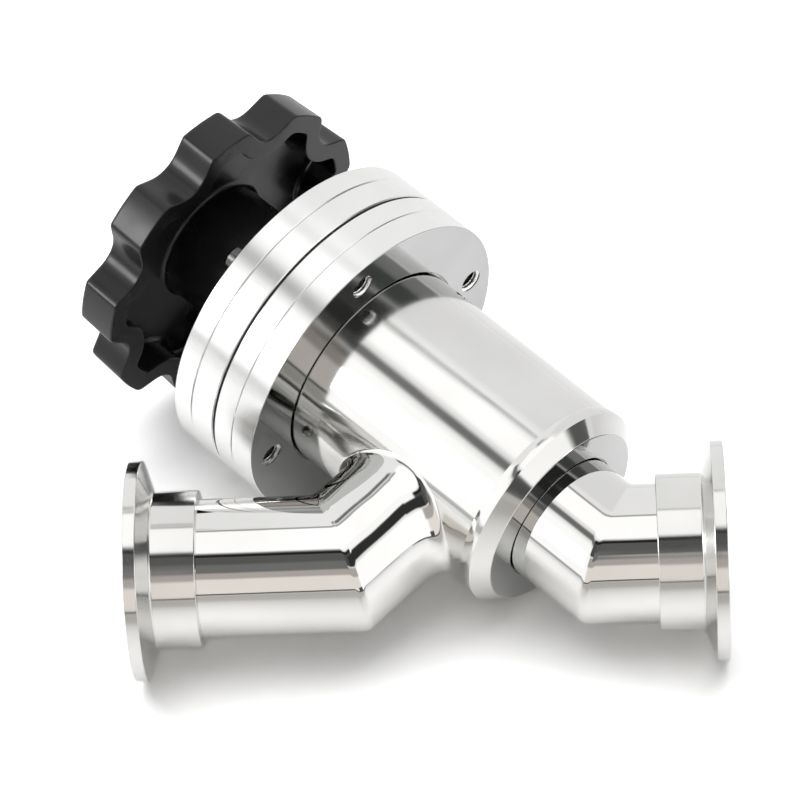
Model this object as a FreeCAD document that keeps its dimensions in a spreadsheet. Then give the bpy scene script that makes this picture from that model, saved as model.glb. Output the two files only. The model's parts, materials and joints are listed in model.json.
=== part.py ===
import FreeCAD, Part
import math
import os
from types import SimpleNamespace
import Sketcher

# In-line sanitary valve with an inclined body, two clamp ports and a lobed handwheel.
# Millimetres. The origin is the centre of the outlet port's face, +X runs along the pipe out of the
# outlet, and +Z is up. The valve lies as it would on a bench: on both ferrule rims and on the edge
# of its bonnet flange. "Height" below is the distance along the body axis from the outlet elbow.

DRIVING_SIZES = [
    ("body_angle", 45, "angle between the pipe axis and the body axis"),
    ("inlet_reach", 108.5, "outlet elbow to the inlet port face"),
    ("outlet_reach", 26.85, "outlet elbow to the outlet port face"),
    ("mitre_reach", 61, "outlet elbow to the inlet elbow"),
    ("tube_radius", 16, "outside of the pipe tubes"),
    ("tube_wall", 2, "wall of the pipe tubes"),
    ("ferrule_radius", 25.25, "clamp ferrule rim"),
    ("ferrule_rim", 2.95, "thickness of the ferrule rim at its edge"),
    ("ferrule_cone", 2.35, "axial length of the ferrule's conical back"),
    ("ferrule_length", 15.6, "port face to the end of the ferrule neck"),
    ("neck_wall", 2.1, "ferrule neck outside the tube"),
    ("neck_socket", 6, "depth of the socket in the ferrule neck"),
    ("socket_gap", 1, "tube end to the socket's shoulder, which a socket weld needs"),
    ("seal_track_radius", 21.8, "middle of the gasket groove in the port face"),
    ("seal_track_depth", 1.5, "depth and half width of that groove"),
    ("body_radius", 26.25, "outside of the body tube"),
    ("body_wall", 2, "wall of the body tube"),
    ("end_face", 15.1, "height of the body's flat lower end"),
    ("leg_socket", 3, "how far the outlet leg sits in the seat ring"),
    ("bevel_height", 3.3, "bevel round the body's lower end"),
    ("bevel_inset", 3.6, "how far the bevel steps in"),
    ("band_rise", 0.25, "how far the weld band above the bevel stands out of the body tube"),
    ("band_height", 3.1, "height of that band"),
    ("seat_floor", 4.9, "end face to the floor round the seat"),
    ("seat_height", 9.9, "end face to the top of the seat"),
    ("seat_land", 2.5, "width of the seat's land"),
    ("weld_leg", 1.5, "radius of the blend where the branch meets the body"),
    ("flange_face", 75.95, "height of the body flange's underside"),
    ("flange_thick", 6.65, "body flange"),
    ("housing_thick", 5.8, "stem housing disc"),
    ("gasket_thick", 0.6, "flat bonnet gasket"),
    ("bonnet_thick", 7, "bonnet disc"),
    ("cap_thick", 5.7, "cap disc"),
    ("flange_width", 13.25, "body tube to the edge of all four discs"),
    ("stack_chamfer", 0.25, "edge break on the discs"),
    ("gasket_inset", 0.7, "how far the gasket lies inside the discs' edge"),
    ("flange_socket", 4, "how far the body tube sits in its flange"),
    ("spigot_length", 10.6, "stem housing spigot below the flange's top"),
    ("spigot_gap", 0.1, "radial gap between spigot and body tube"),
    ("body_seal_drop", 5.3, "flange top down to the middle of the body seal"),
    ("body_seal_section", 2.1, "body seal cord"),
    ("seal_side_gap", 0.45, "groove side to seal, each side"),
    ("bolt_inset", 6.3, "edge of the discs to the middle of the bonnet screws"),
    ("screw_count", 4, "screws in each set"),
    ("screw_radius", 3, "bonnet screw thread"),
    ("screw_gap", 0.3, "radial gap of a clearance hole"),
    ("screw_head_radius", 5, "bonnet screw head"),
    ("screw_head_height", 5, "bonnet screw head"),
    ("screw_pocket_depth", 5.2, "bonnet screw head pocket"),
    ("screw_setback", 2.05, "bonnet screw end above the flange's underside"),
    ("screw_tip_break", 0.6, "edge break of the bonnet screw's end"),
    ("screw_key", 2.9, "corner radius of the bonnet screw's hexagon socket"),
    ("cap_screw_radius", 1.5, "cap screw thread"),
    ("cap_head_radius", 2.7, "cap screw head"),
    ("cap_head_break", 0.9, "edge break of the cap screw head"),
    ("cap_screw_rise", 4.5, "cap screw head height above the cap disc"),
    ("cap_screw_length", 9.2, "cap screw below its head"),
    ("cap_screw_key", 1.45, "corner radius of the cap screw's hexagon socket"),
    ("cap_screw_turn", -113, "angle of the first cap screw round the body axis"),
    ("spindle_radius", 7, "spindle, thread and plain part"),
    ("running_gap", 0.05, "radial gap of bush, thread and stem seals"),
    ("free_gap", 0.3, "gap between moving faces that don't guide"),
    ("travel", 12, "lift of the plug"),
    ("closing_gap", 0.2, "plug seal above the seat when closed"),
    ("plug_overlap", 2, "plug seal beyond the seat's land"),
    ("plug_rim", 1, "valve plug beyond its seal"),
    ("plug_seal_thick", 4, "plug seal ring"),
    ("plug_spigot", 9.5, "plug spigot that centres the seal ring"),
    ("plug_height", 12.3, "plug above its seal"),
    ("plug_floor", 4.3, "solid bottom of the plug above its seal"),
    ("plate_gap", 1, "seal plate to the seat's bore"),
    ("plate_thick", 2.5, "seal plate"),
    ("collar_radius", 9, "spindle's lower collar"),
    ("collar_thick", 3, "spindle's lower collar"),
    ("retainer_radius", 11.5, "ring that holds the collar in the plug"),
    ("boss_radius", 13, "stem housing boss"),
    ("stop_gap", 0.5, "plug to boss when fully open"),
    ("bush_radius", 9.5, "outside of the guide bush"),
    ("bush_length", 12, "guide bush"),
    ("stem_seal_groove", 9.4, "bottom of the stem seal grooves"),
    ("stem_seal_height", 4, "guide bush end to the first stem seal"),
    ("stem_seal_pitch", 6, "distance between the stem seals"),
    ("thread_bush_radius", 12, "thread bush in the bonnet disc"),
    ("thread_flange_radius", 16, "thread bush flange"),
    ("thread_flange_thick", 3.4, "thread bush flange"),
    ("thread_tail_radius", 9, "thread bush inside the cap neck"),
    ("thread_tail", 12, "thread bush above the bonnet disc"),
    ("neck_wall_radius", 11, "outside of the cap disc's neck"),
    ("neck_height", 15.3, "cap disc's neck above the disc"),
    ("hub_gap", 0.6, "cap disc to the handwheel's hub when closed"),
    ("hub_radius", 15.25, "handwheel hub"),
    ("neck_room", 1, "room above the neck inside the hub"),
    ("wheel_bottom", 123.2, "height of the handwheel's open edge"),
    ("wheel_depth", 11.1, "height of the handwheel rim"),
    ("wheel_web", 3.3, "thickness of the handwheel's web"),
    ("wheel_radius", 39.8, "lobe tips at the open edge"),
    ("wheel_draft", 0.5, "how much less the lobe tips are at the top"),
    ("wheel_wall", 5, "rim wall"),
    ("wheel_break", 0.6, "edge break of the rim's top"),
    ("lobe_count", 9, "lobes of the handwheel"),
    ("lobe_turn", -22.9, "angle of the first scallop round the body axis"),
    ("scallop_root", 34.5, "smallest radius of the rim"),
    ("scallop_radius", 6.1, "round bottom of a scallop"),
    ("scallop_slope", 39, "slope of a scallop's flanks"),
    ("scallop_half", 10.5, "half width at which the scallop cutter ends"),
    ("wall_half", 12.4, "half width at which the wall behind a scallop ends"),
    ("insert_radius", 9, "metal insert in the hub"),
    ("insert_gap", 0.3, "insert's lower end above the neck room"),
    ("journal_radius", 5, "spindle inside the insert"),
    ("insert_length", 9.2, "insert"),
    ("wheel_recess", 12, "radius of the recess for nut and cap"),
    ("washer_radius", 10, "washer under the nut"),
    ("washer_thick", 1.4, "washer under the nut"),
    ("nut_radius", 4, "thread of the wheel nut"),
    ("nut_corner", 7.5, "corner radius of the wheel nut"),
    ("nut_thick", 4, "wheel nut"),
    ("spindle_end", 0.4, "spindle above the wheel nut"),
    ("cap_rise", 0.7, "wheel cap above the handwheel's top"),
    ("cap_plate", 1.4, "top of the wheel cap"),
    ("cap_skirt", 3.6, "length of the wheel cap's skirt"),
    ("cap_skirt_wall", 1.2, "wall of that skirt"),
]


class Length:
    """A number together with the sheet formula that it comes from."""

    def __init__(self, value, text):
        self.value = value
        self.text = text

    def __add__(self, other):
        other = length(other)
        return Length(self.value + other.value, f"({self.text} + {other.text})")

    def __sub__(self, other):
        other = length(other)
        return Length(self.value - other.value, f"({self.text} - {other.text})")

    def __mul__(self, other):
        other = length(other)
        return Length(self.value * other.value, f"({self.text} * {other.text})")

    def __truediv__(self, other):
        other = length(other)
        return Length(self.value / other.value, f"({self.text} / {other.text})")

    def __neg__(self):
        return Length(-self.value, f"(-{self.text})")

    def is_zero(self):
        return self.text == ZERO.text


def length(number):
    return number if isinstance(number, Length) else Length(number, repr(number))


def cosine(angle):
    return Length(math.cos(math.radians(angle.value)), f"cos({angle.text})")


def sine(angle):
    return Length(math.sin(math.radians(angle.value)), f"sin({angle.text})")


def tangent(angle):
    return Length(math.tan(math.radians(angle.value)), f"tan({angle.text})")


def root(number):
    return Length(math.sqrt(number.value), f"sqrt({number.text})")


ZERO = Length(0.0, "0")
FULL_TURN = 360
HEX_SIDES = 6
CUT_MARGIN = 3  # cutters reach this many tube radii, past every wall
SHEET_NAME = "Sizes"


def fill_sheet(document):
    sheet = document.addObject("Spreadsheet::Sheet", SHEET_NAME)
    for row, (name, value, note) in enumerate(DRIVING_SIZES, start=1):
        sheet.set(f"A{row}", str(value))
        sheet.setAlias(f"A{row}", name)
        sheet.set(f"B{row}", note)
    document.recompute()
    return SimpleNamespace(**{name: Length(float(value), f"{SHEET_NAME}.{name}")
                              for name, value, note in DRIVING_SIZES})


doc = FreeCAD.newDocument("inclined_valve")
d = fill_sheet(doc)

# Radii that follow from the driving sizes
tube_inner = d.tube_radius - d.tube_wall
neck_radius = d.tube_radius + d.neck_wall
body_inner = d.body_radius - d.body_wall
band_radius = d.body_radius + d.band_rise
stack_radius = d.body_radius + d.flange_width
bolt_circle = stack_radius - d.bolt_inset
seat_outer = tube_inner + d.seat_land
plug_seal_radius = seat_outer + d.plug_overlap
plug_radius = plug_seal_radius + d.plug_rim
plate_radius = tube_inner - d.plate_gap
spigot_radius = body_inner - d.spigot_gap
spindle_bore = d.spindle_radius + d.running_gap
spindle_clear = d.spindle_radius + d.free_gap
neck_clear = d.neck_wall_radius + d.free_gap

# Heights along the body axis, from the outlet elbow upwards
branch_height = d.mitre_reach * cosine(d.body_angle)
branch_reach = d.mitre_reach * sine(d.body_angle)
leg_end = d.end_face + d.leg_socket
bevel_top = d.end_face + d.bevel_height
tube_start = bevel_top + d.band_height
seat_base = d.end_face + d.seat_floor
seat_top = d.end_face + d.seat_height
seal_bottom = seat_top + d.closing_gap
plug_face = seal_bottom + d.plug_seal_thick
pocket_floor = plug_face + d.plug_floor
collar_bottom = pocket_floor + d.free_gap
collar_top = collar_bottom + d.collar_thick
retainer_bottom = collar_top + d.free_gap
plug_top = plug_face + d.plug_height
boss_end = plug_top + d.travel + d.stop_gap
bush_end = boss_end + d.bush_length
tube_end = d.flange_face + d.flange_socket
flange_top = d.flange_face + d.flange_thick
spigot_end = flange_top - d.spigot_length
housing_top = flange_top + d.housing_thick
gasket_top = housing_top + d.gasket_thick
bonnet_top = gasket_top + d.bonnet_thick
thread_flange_bottom = bonnet_top - d.thread_flange_thick
thread_bush_top = bonnet_top + d.thread_tail
screw_seat = bonnet_top - d.screw_pocket_depth
cap_top = bonnet_top + d.cap_thick
neck_top = cap_top + d.neck_height
hub_bottom = cap_top + d.hub_gap
hub_ceiling = neck_top + d.neck_room
insert_bottom = hub_ceiling + d.insert_gap
insert_top = insert_bottom + d.insert_length
washer_top = insert_top + d.washer_thick
nut_top = washer_top + d.nut_thick
spindle_top = nut_top + d.spindle_end
wheel_top = d.wheel_bottom + d.wheel_depth
wheel_floor = wheel_top - d.wheel_web


def rest_lean():
    """The angle between the valve's plane and the floor.

    Both ferrule rims touch the floor, and the flange's lower edge has to touch it too:
    ferrule_radius + reach * sin(lean) = stack_radius * sqrt(1 - (cos(body_angle) * sin(lean)) ** 2).
    This is a quadratic in sin(lean).
    """
    reach = d.flange_face * sine(d.body_angle)
    along = stack_radius * cosine(d.body_angle)
    square = reach * reach + along * along
    half = d.ferrule_radius * reach
    spare = stack_radius * stack_radius - d.ferrule_radius * d.ferrule_radius
    sine_of_lean = (root(half * half + square * spare) - half) / square
    return Length(math.degrees(math.asin(sine_of_lean.value)), f"asin({sine_of_lean.text})")


LEAN = f"rotation(vector(1; 0; 0); {rest_lean().text})"
ORIGIN = f"vector({(-d.outlet_reach).text}; 0; 0)"


def turned(axis, angle):
    return f"rotation(vector({axis}); {length(angle).text})"


# Body frame: Z is the body axis, X points from the branch side across the body.
BODY_FRAME = " * ".join([LEAN, turned("0; 0; 1", length(90) - d.body_angle), turned("1; 0; 0", -90)])
# Pipe frame: Z is the pipe axis towards the outlet, X lies in the valve's plane towards the bonnet.
PIPE_FRAME = " * ".join([LEAN, turned("0; 0; 1", 90), turned("1; 0; 0", 90)])

nodes = []


def new_body(name, frame=BODY_FRAME):
    body = doc.addObject("PartDesign::Body", name)
    body.Label = name
    body.AllowCompound = True
    body.setExpression("Placement", f"placement({ORIGIN}; {frame})")
    nodes.append(body)
    return body


def origin_feature(body, role):
    return next(f for f in body.Origin.OriginFeatures if f.Role == role)


def new_sketch(body, plane):
    sketch = body.newObject("Sketcher::SketchObject", f"{body.Name}_sketch")
    sketch.AttachmentSupport = [(origin_feature(body, plane), "")]
    sketch.MapMode = "FlatFace"
    return sketch


def bind(sketch, kind, value, *points):
    index = sketch.addConstraint(Sketcher.Constraint(kind, *points, value.value))
    sketch.setExpression(f"Constraints[{index}]", value.text)


def pin_point(sketch, edge, end, point, before=None, before_edge=None):
    """Fixes one corner: square to the corner before it, on an axis, or at a distance from the origin."""
    sides = (("DistanceX", "Vertical", -2), ("DistanceY", "Horizontal", -1))
    for value, last, (distance, straight, axis) in zip(point, before or (None, None), sides):
        if last is not None and value.text == last.text:
            sketch.addConstraint(Sketcher.Constraint(straight, before_edge))
        elif value.is_zero():
            sketch.addConstraint(Sketcher.Constraint("PointOnObject", edge, end, axis))
        else:
            bind(sketch, distance, value, -1, 1, edge, end)


def draw_outline(sketch, points):
    """Draws a closed outline of straight lines through points given as pairs of Lengths."""
    corners = [FreeCAD.Vector(x.value, y.value, 0) for x, y in points]
    count = len(points)
    for i in range(count):
        sketch.addGeometry(Part.LineSegment(corners[i], corners[(i + 1) % count]), False)
    for i in range(count):
        sketch.addConstraint(Sketcher.Constraint("Coincident", i, 2, (i + 1) % count, 1))
    pin_point(sketch, 0, 1, points[0])
    for i in range(1, count):
        pin_point(sketch, i, 1, points[i], points[i - 1], i - 1)


def draw_axis(sketch, start, end):
    """Adds a construction line as the turning axis and returns its name."""
    line = Part.LineSegment(FreeCAD.Vector(start[0].value, start[1].value, 0),
                            FreeCAD.Vector(end[0].value, end[1].value, 0))
    index = sketch.addGeometry(line, True)
    pin_point(sketch, index, 1, start)
    pin_point(sketch, index, 2, end, start, index)
    return "Axis0"


def revolve(body, points, axis=None, groove=False):
    """Turns an outline of (radius, height) points round the body axis, or round the given line."""
    sketch = new_sketch(body, "XZ_Plane")
    draw_outline(sketch, points)
    name = draw_axis(sketch, *axis) if axis else "V_Axis"
    kind = "PartDesign::Groove" if groove else "PartDesign::Revolution"
    feature = body.newObject(kind, f"{body.Name}_turned")
    feature.Profile = sketch
    feature.ReferenceAxis = (sketch, [name])
    feature.Angle = FULL_TURN
    doc.recompute()
    return feature


def box_outline(x0, x1, y0, y1):
    return [(x0, y0), (x1, y0), (x1, y1), (x0, y1)]


def ring(name, inner, outer, bottom, top, frame=BODY_FRAME):
    body = new_body(name, frame)
    revolve(body, box_outline(inner, outer, bottom, top))
    return body


def side_line(radius, bottom, top):
    """An axis parallel to the body axis at the given radius."""
    return ((radius, bottom), (radius, top))


def drill(body, steps, radius=bolt_circle):
    """Cuts a stepped hole from (radius, bottom, top) steps, lowest first, round a line off the axis."""
    points = [(radius, steps[0][1])]
    for hole, bottom, top in steps:
        points += [(radius + hole, bottom), (radius + hole, top)]
    points.append((radius, steps[-1][2]))
    return revolve(body, points, side_line(radius, steps[0][1], steps[-1][2]), groove=True)


def repeat(body, features, count, name):
    pattern = body.newObject("PartDesign::PolarPattern", name)
    pattern.Originals = features
    pattern.Axis = (origin_feature(body, "Z_Axis"), [""])
    pattern.Angle = FULL_TURN
    pattern.setExpression("Occurrences", count.text)
    body.Tip = pattern
    doc.recompute()
    return pattern


def upward_pocket(body, sketch, bottom, top, name):
    """Cuts the sketch's outline out of the body between two heights."""
    sketch.setExpression("AttachmentOffset.Base.z", bottom.text)
    pocket = body.newObject("PartDesign::Pocket", name)
    pocket.Profile = sketch
    pocket.Type = "Length"
    pocket.Reversed = True
    pocket.setExpression("Length", (top - bottom).text)
    doc.recompute()
    return pocket


def hex_socket(body, corner, radius, bottom, top):
    """A hexagon key socket between two heights."""
    sketch = new_sketch(body, "XY_Plane")
    centre = FreeCAD.Vector(radius.value, 0, 0)
    turns = [math.radians(FULL_TURN / HEX_SIDES * i) for i in range(HEX_SIDES)]
    ends = [centre + FreeCAD.Vector(math.cos(turn), math.sin(turn), 0) * corner.value
            for turn in turns]
    for i in range(HEX_SIDES):
        sketch.addGeometry(Part.LineSegment(ends[i], ends[(i + 1) % HEX_SIDES]), False)
    circle = sketch.addGeometry(Part.Circle(centre, FreeCAD.Vector(0, 0, 1), corner.value), True)
    for i in range(HEX_SIDES):
        sketch.addConstraint(Sketcher.Constraint("Coincident", i, 2, (i + 1) % HEX_SIDES, 1))
        sketch.addConstraint(Sketcher.Constraint("PointOnObject", i, 1, circle))
    for i in range(1, HEX_SIDES):
        sketch.addConstraint(Sketcher.Constraint("Equal", 0, i))
    sketch.addConstraint(Sketcher.Constraint("PointOnObject", 0, 1, -1))
    pin_point(sketch, circle, 3, (radius, ZERO))
    bind(sketch, "Radius", corner, circle)
    return upward_pocket(body, sketch, bottom, top, f"{body.Name}_socket")


def mitre(body, point, angle, side):
    """Cuts the tube along a slanted plane through the point; side tells which part goes."""
    reach = d.tube_radius * CUT_MARGIN
    along = (reach * cosine(angle), reach * sine(angle))
    across = (reach * sine(angle) * -side, reach * cosine(angle) * side)
    low = (point[0] - along[0], point[1] - along[1])
    high = (point[0] + along[0], point[1] + along[1])
    outline = [low, high, (high[0] + across[0], high[1] + across[1]),
               (low[0] + across[0], low[1] + across[1])]
    sketch = new_sketch(body, "XZ_Plane")
    draw_outline(sketch, outline)
    pocket = body.newObject("PartDesign::Pocket", f"{body.Name}_mitre")
    pocket.Profile = sketch
    pocket.Type = "Length"
    pocket.Midplane = True
    pocket.setExpression("Length", (reach * 2).text)
    doc.recompute()
    return pocket


def cylinder_cut(body, radius, bottom, top):
    cut = body.newObject("PartDesign::SubtractiveCylinder", f"{body.Name}_trim")
    cut.setExpression("Radius", radius.text)
    cut.setExpression("Height", (top - bottom).text)
    cut.setExpression("Placement", f"placement(vector(0; 0; {bottom.text}); "
                                   f"rotation(vector(0; 0; 1); 0))")
    doc.recompute()
    return cut


def cross_cylinder(body, kind, radius, reach):
    """A cylinder along the branch, from the body axis outwards."""
    solid = body.newObject(kind, f"{body.Name}_cross")
    solid.setExpression("Radius", radius.text)
    solid.setExpression("Height", reach.text)
    solid.setExpression("Placement", f"placement(vector(0; 0; {branch_height.text}); "
                                     f"rotation(vector(0; 1; 0); -90))")
    doc.recompute()
    return solid


# Pipe line

def ferrule(name, face, outward):
    """A clamp ferrule with its port face at the given place; returns where its tube ends."""
    body = new_body(name, PIPE_FRAME)
    back = face - d.ferrule_rim * outward
    cone_end = back - d.ferrule_cone * outward
    neck_end = face - d.ferrule_length * outward
    socket_end = neck_end + d.neck_socket * outward
    track_in = d.seal_track_radius - d.seal_track_depth
    track_out = d.seal_track_radius + d.seal_track_depth
    track_floor = face - d.seal_track_depth * outward
    track_half = d.seal_track_depth / 2
    revolve(body, [
        (tube_inner, face), (track_in, face), (d.seal_track_radius - track_half, track_floor),
        (d.seal_track_radius + track_half, track_floor), (track_out, face),
        (d.ferrule_radius, face), (d.ferrule_radius, back), (neck_radius, cone_end),
        (neck_radius, neck_end), (d.tube_radius, neck_end), (d.tube_radius, socket_end),
        (tube_inner, socket_end)])
    return socket_end - d.socket_gap * outward


def pipe_tube(name, tube_end, elbow, angle, side, overlap):
    """A tube from its end in the ferrule socket to the mitre at the elbow."""
    far = elbow + overlap
    low, high = (tube_end, far) if side > 0 else (far, tube_end)
    body = ring(name, tube_inner, d.tube_radius, low, high, PIPE_FRAME)
    mitre(body, (ZERO, elbow), angle, side)


def branch_tube():
    """The tube from the inlet elbow into the side of the body."""
    body = new_body("branch_tube")
    start = -branch_reach - d.tube_radius
    low = branch_height + tube_inner
    high = branch_height + d.tube_radius
    revolve(body, box_outline(start, ZERO, low, high),
            ((start, branch_height), (ZERO, branch_height)))
    mitre(body, (-branch_reach, branch_height), (length(90) + d.body_angle) / 2, 1)
    cylinder_cut(body, body_inner, ZERO, branch_height * 2)


def outlet_leg():
    """The tube from the body's lower end to the outlet elbow."""
    body = ring("outlet_leg", tube_inner, d.tube_radius, -d.tube_radius, leg_end)
    mitre(body, (ZERO, ZERO), d.body_angle / 2, -1)


# Body

def seat_ring():
    """The body's lower end: bevel and weld band outside, raised seat inside."""
    body = new_body("seat_ring")
    revolve(body, [
        (d.tube_radius, d.end_face), (band_radius - d.bevel_inset, d.end_face),
        (band_radius, bevel_top), (band_radius, tube_start), (body_inner, tube_start),
        (body_inner, seat_base), (seat_outer, seat_base), (seat_outer, seat_top),
        (tube_inner, seat_top), (tube_inner, leg_end), (d.tube_radius, leg_end)])


def body_tube():
    """The body shell with the hole for the branch."""
    body = ring("body_tube", body_inner, d.body_radius, tube_start, tube_end)
    cross_cylinder(body, "PartDesign::SubtractiveCylinder", d.tube_radius, d.body_radius * 2)


def branch_weld():
    """The smooth blend round the joint of branch and body."""
    body = new_body("branch_weld")
    shell = body.newObject("PartDesign::AdditiveCylinder", "branch_weld_shell")
    shell.setExpression("Radius", d.body_radius.text)
    shell.setExpression("Height", (branch_height * 2).text)
    doc.recompute()
    joined = cross_cylinder(body, "PartDesign::AdditiveCylinder", d.tube_radius, d.body_radius * 2)
    blend = body.newObject("PartDesign::Fillet", "branch_weld_blend")
    blend.Base = (joined, [saddle_edge(joined.Shape)])
    blend.setExpression("Radius", d.weld_leg.text)
    doc.recompute()
    cross_cylinder(body, "PartDesign::SubtractiveCylinder", d.tube_radius, d.body_radius * 2)
    cylinder_cut(body, d.body_radius, ZERO, branch_height * 2)


def saddle_edge(shape):
    """The name of the edge on which branch and body meet."""
    def off_surface(edge):
        points = edge.discretize(12)
        return max(abs(math.hypot(p.x, p.y) - d.body_radius.value)
                   + abs(math.hypot(p.y, p.z - branch_height.value) - d.tube_radius.value)
                   for p in points)
    edges = shape.Edges
    best = min(range(len(edges)), key=lambda i: off_surface(edges[i]))
    return f"Edge{best + 1}"


# Disc stack

def disc_points(inner, bottom, top):
    """A disc's outline from its bore outwards and back, with both edges broken."""
    edge = stack_radius - d.stack_chamfer
    return [(inner, bottom), (edge, bottom), (stack_radius, bottom + d.stack_chamfer),
            (stack_radius, top - d.stack_chamfer), (edge, top)]


def body_flange():
    """The lowest disc, welded to the body tube, with the tapped holes."""
    body = new_body("body_flange")
    revolve(body, disc_points(d.body_radius, d.flange_face, flange_top) + [
        (body_inner, flange_top), (body_inner, tube_end), (d.body_radius, tube_end)])
    hole = drill(body, [(d.screw_radius, d.flange_face, flange_top)])
    repeat(body, [hole], d.screw_count, "tapped_holes")


def groove_points(bottom, top, mouth, depth):
    """The four corners of a ring groove in a face at radius mouth, cut to radius depth."""
    return [(mouth, bottom), (depth, bottom), (depth, top), (mouth, top)]


def stem_housing():
    """The second disc, with the spigot and boss that hold bush and seals."""
    body = new_body("stem_housing")
    seal_half = d.body_seal_section / 2 + d.seal_side_gap
    seal_middle = flange_top - d.body_seal_drop
    groove_bottom = body_inner - d.body_seal_section
    bore_face = [(d.bush_radius, boss_end), (d.boss_radius, boss_end), (d.boss_radius, spigot_end),
                 (spigot_radius, spigot_end)]
    outer_groove = groove_points(seal_middle - seal_half, seal_middle + seal_half,
                                 spigot_radius, groove_bottom)
    disc = [(spigot_radius, flange_top)] + disc_points(spigot_radius, flange_top, housing_top)[1:]
    inside = [(spindle_clear, housing_top)]
    for middle in reversed(stem_seal_middles()):
        half = (d.stem_seal_groove - spindle_bore) / 2 + d.seal_side_gap
        inside += reversed(groove_points(middle - half, middle + half, spindle_clear,
                                         d.stem_seal_groove))
    bush_seat = [(spindle_clear, bush_end), (d.bush_radius, bush_end)]
    revolve(body, bore_face + outer_groove + disc + inside + bush_seat)
    hole = drill(body, [(d.screw_radius + d.screw_gap, flange_top, housing_top)])
    repeat(body, [hole], d.screw_count, "clearance_holes")


def stem_seal_middles():
    first = bush_end + d.stem_seal_height
    return [first, first + d.stem_seal_pitch]


def seal_cord(name, middles, inner, outer):
    """Round seal rings between two radii."""
    body = new_body(name)
    for middle in middles:
        torus = body.newObject("PartDesign::AdditiveTorus", f"{name}_cord")
        torus.setExpression("Radius1", ((inner + outer) / 2).text)
        torus.setExpression("Radius2", ((outer - inner) / 2).text)
        torus.setExpression("Placement", f"placement(vector(0; 0; {middle.text}); "
                                         f"rotation(vector(0; 0; 1); 0))")
        doc.recompute()


def bonnet_gasket():
    body = ring("bonnet_gasket", d.thread_bush_radius, stack_radius - d.gasket_inset,
                housing_top, gasket_top)
    hole = drill(body, [(d.screw_radius + d.screw_gap, housing_top, gasket_top)])
    repeat(body, [hole], d.screw_count, "gasket_holes")


def cap_screw_depth():
    return cap_top - d.cap_screw_length - d.screw_gap


def turn_to_cap_screws(body):
    """Turns the body frame so that the first cap screw lies on its X axis."""
    body.setExpression("Placement", f"placement({ORIGIN}; {BODY_FRAME} * "
                                    f"{turned('0; 0; 1', d.cap_screw_turn)})")


def bonnet_disc():
    """The third disc, which holds the thread bush and the heads of the bonnet screws."""
    body = new_body("bonnet_disc")
    revolve(body, disc_points(d.thread_bush_radius, gasket_top, bonnet_top) + [
        (d.thread_flange_radius, bonnet_top), (d.thread_flange_radius, thread_flange_bottom),
        (d.thread_bush_radius, thread_flange_bottom)])
    hole = drill(body, [(d.screw_radius + d.screw_gap, gasket_top, screw_seat),
                        (d.screw_head_radius + d.screw_gap, screw_seat, bonnet_top)])
    repeat(body, [hole], d.screw_count, "head_pockets")
    cap_screw_holes(body, d.cap_screw_radius, cap_screw_depth(), bonnet_top)


def cap_screw_holes(body, radius, bottom, top):
    """Plain holes at the cap screws' places."""
    place = (bolt_circle * cosine(d.cap_screw_turn), bolt_circle * sine(d.cap_screw_turn))
    sketch = new_sketch(body, "XY_Plane")
    centre = FreeCAD.Vector(place[0].value, place[1].value, 0)
    circle = sketch.addGeometry(Part.Circle(centre, FreeCAD.Vector(0, 0, 1), radius.value), False)
    pin_point(sketch, circle, 3, place)
    bind(sketch, "Radius", radius, circle)
    hole = upward_pocket(body, sketch, bottom, top, f"{body.Name}_small_hole")
    repeat(body, [hole], d.screw_count, f"{body.Name}_small_holes")


def cap_disc():
    """The top disc, with the neck that the handwheel's hub slides over."""
    body = new_body("cap_disc")
    revolve(body, disc_points(d.thread_tail_radius, bonnet_top, cap_top) + [
        (d.neck_wall_radius, cap_top), (d.neck_wall_radius, neck_top),
        (spindle_clear, neck_top), (spindle_clear, thread_bush_top),
        (d.thread_tail_radius, thread_bush_top)])
    cap_screw_holes(body, d.cap_screw_radius + d.screw_gap, bonnet_top, cap_top)


def thread_bush():
    body = new_body("thread_bush")
    revolve(body, [
        (spindle_bore, gasket_top), (d.thread_bush_radius, gasket_top),
        (d.thread_bush_radius, thread_flange_bottom), (d.thread_flange_radius, thread_flange_bottom),
        (d.thread_flange_radius, bonnet_top), (d.thread_tail_radius, bonnet_top),
        (d.thread_tail_radius, thread_bush_top), (spindle_bore, thread_bush_top)])


def bonnet_screws():
    """Socket head screws from the bonnet disc into the flange."""
    body = new_body("bonnet_screws")
    tip = d.flange_face + d.screw_setback
    head_top = screw_seat + d.screw_head_height
    axis = bolt_circle
    shape = revolve(body, [
        (axis, tip), (axis + d.screw_radius - d.screw_tip_break, tip),
        (axis + d.screw_radius, tip + d.screw_tip_break), (axis + d.screw_radius, screw_seat),
        (axis + d.screw_head_radius, screw_seat), (axis + d.screw_head_radius, head_top),
        (axis, head_top)], side_line(axis, tip, head_top))
    socket = hex_socket(body, d.screw_key, axis, head_top - d.screw_head_height / 2, head_top)
    repeat(body, [shape, socket], d.screw_count, "bonnet_screw_set")


def cap_screws():
    """Small screws that hold the cap disc, heads standing above it."""
    body = new_body("cap_screws")
    turn_to_cap_screws(body)
    axis = bolt_circle
    tip = cap_top - d.cap_screw_length
    head_top = cap_top + d.cap_screw_rise
    shape = revolve(body, [
        (axis, tip), (axis + d.cap_screw_radius, tip), (axis + d.cap_screw_radius, cap_top),
        (axis + d.cap_head_radius, cap_top),
        (axis + d.cap_head_radius, head_top - d.cap_head_break),
        (axis + d.cap_head_radius - d.cap_head_break, head_top), (axis, head_top)],
        side_line(axis, tip, head_top))
    socket = hex_socket(body, d.cap_screw_key, axis, head_top - d.cap_screw_rise / 2, head_top)
    repeat(body, [shape, socket], d.screw_count, "cap_screw_set")


# Pieces that slide

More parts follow.
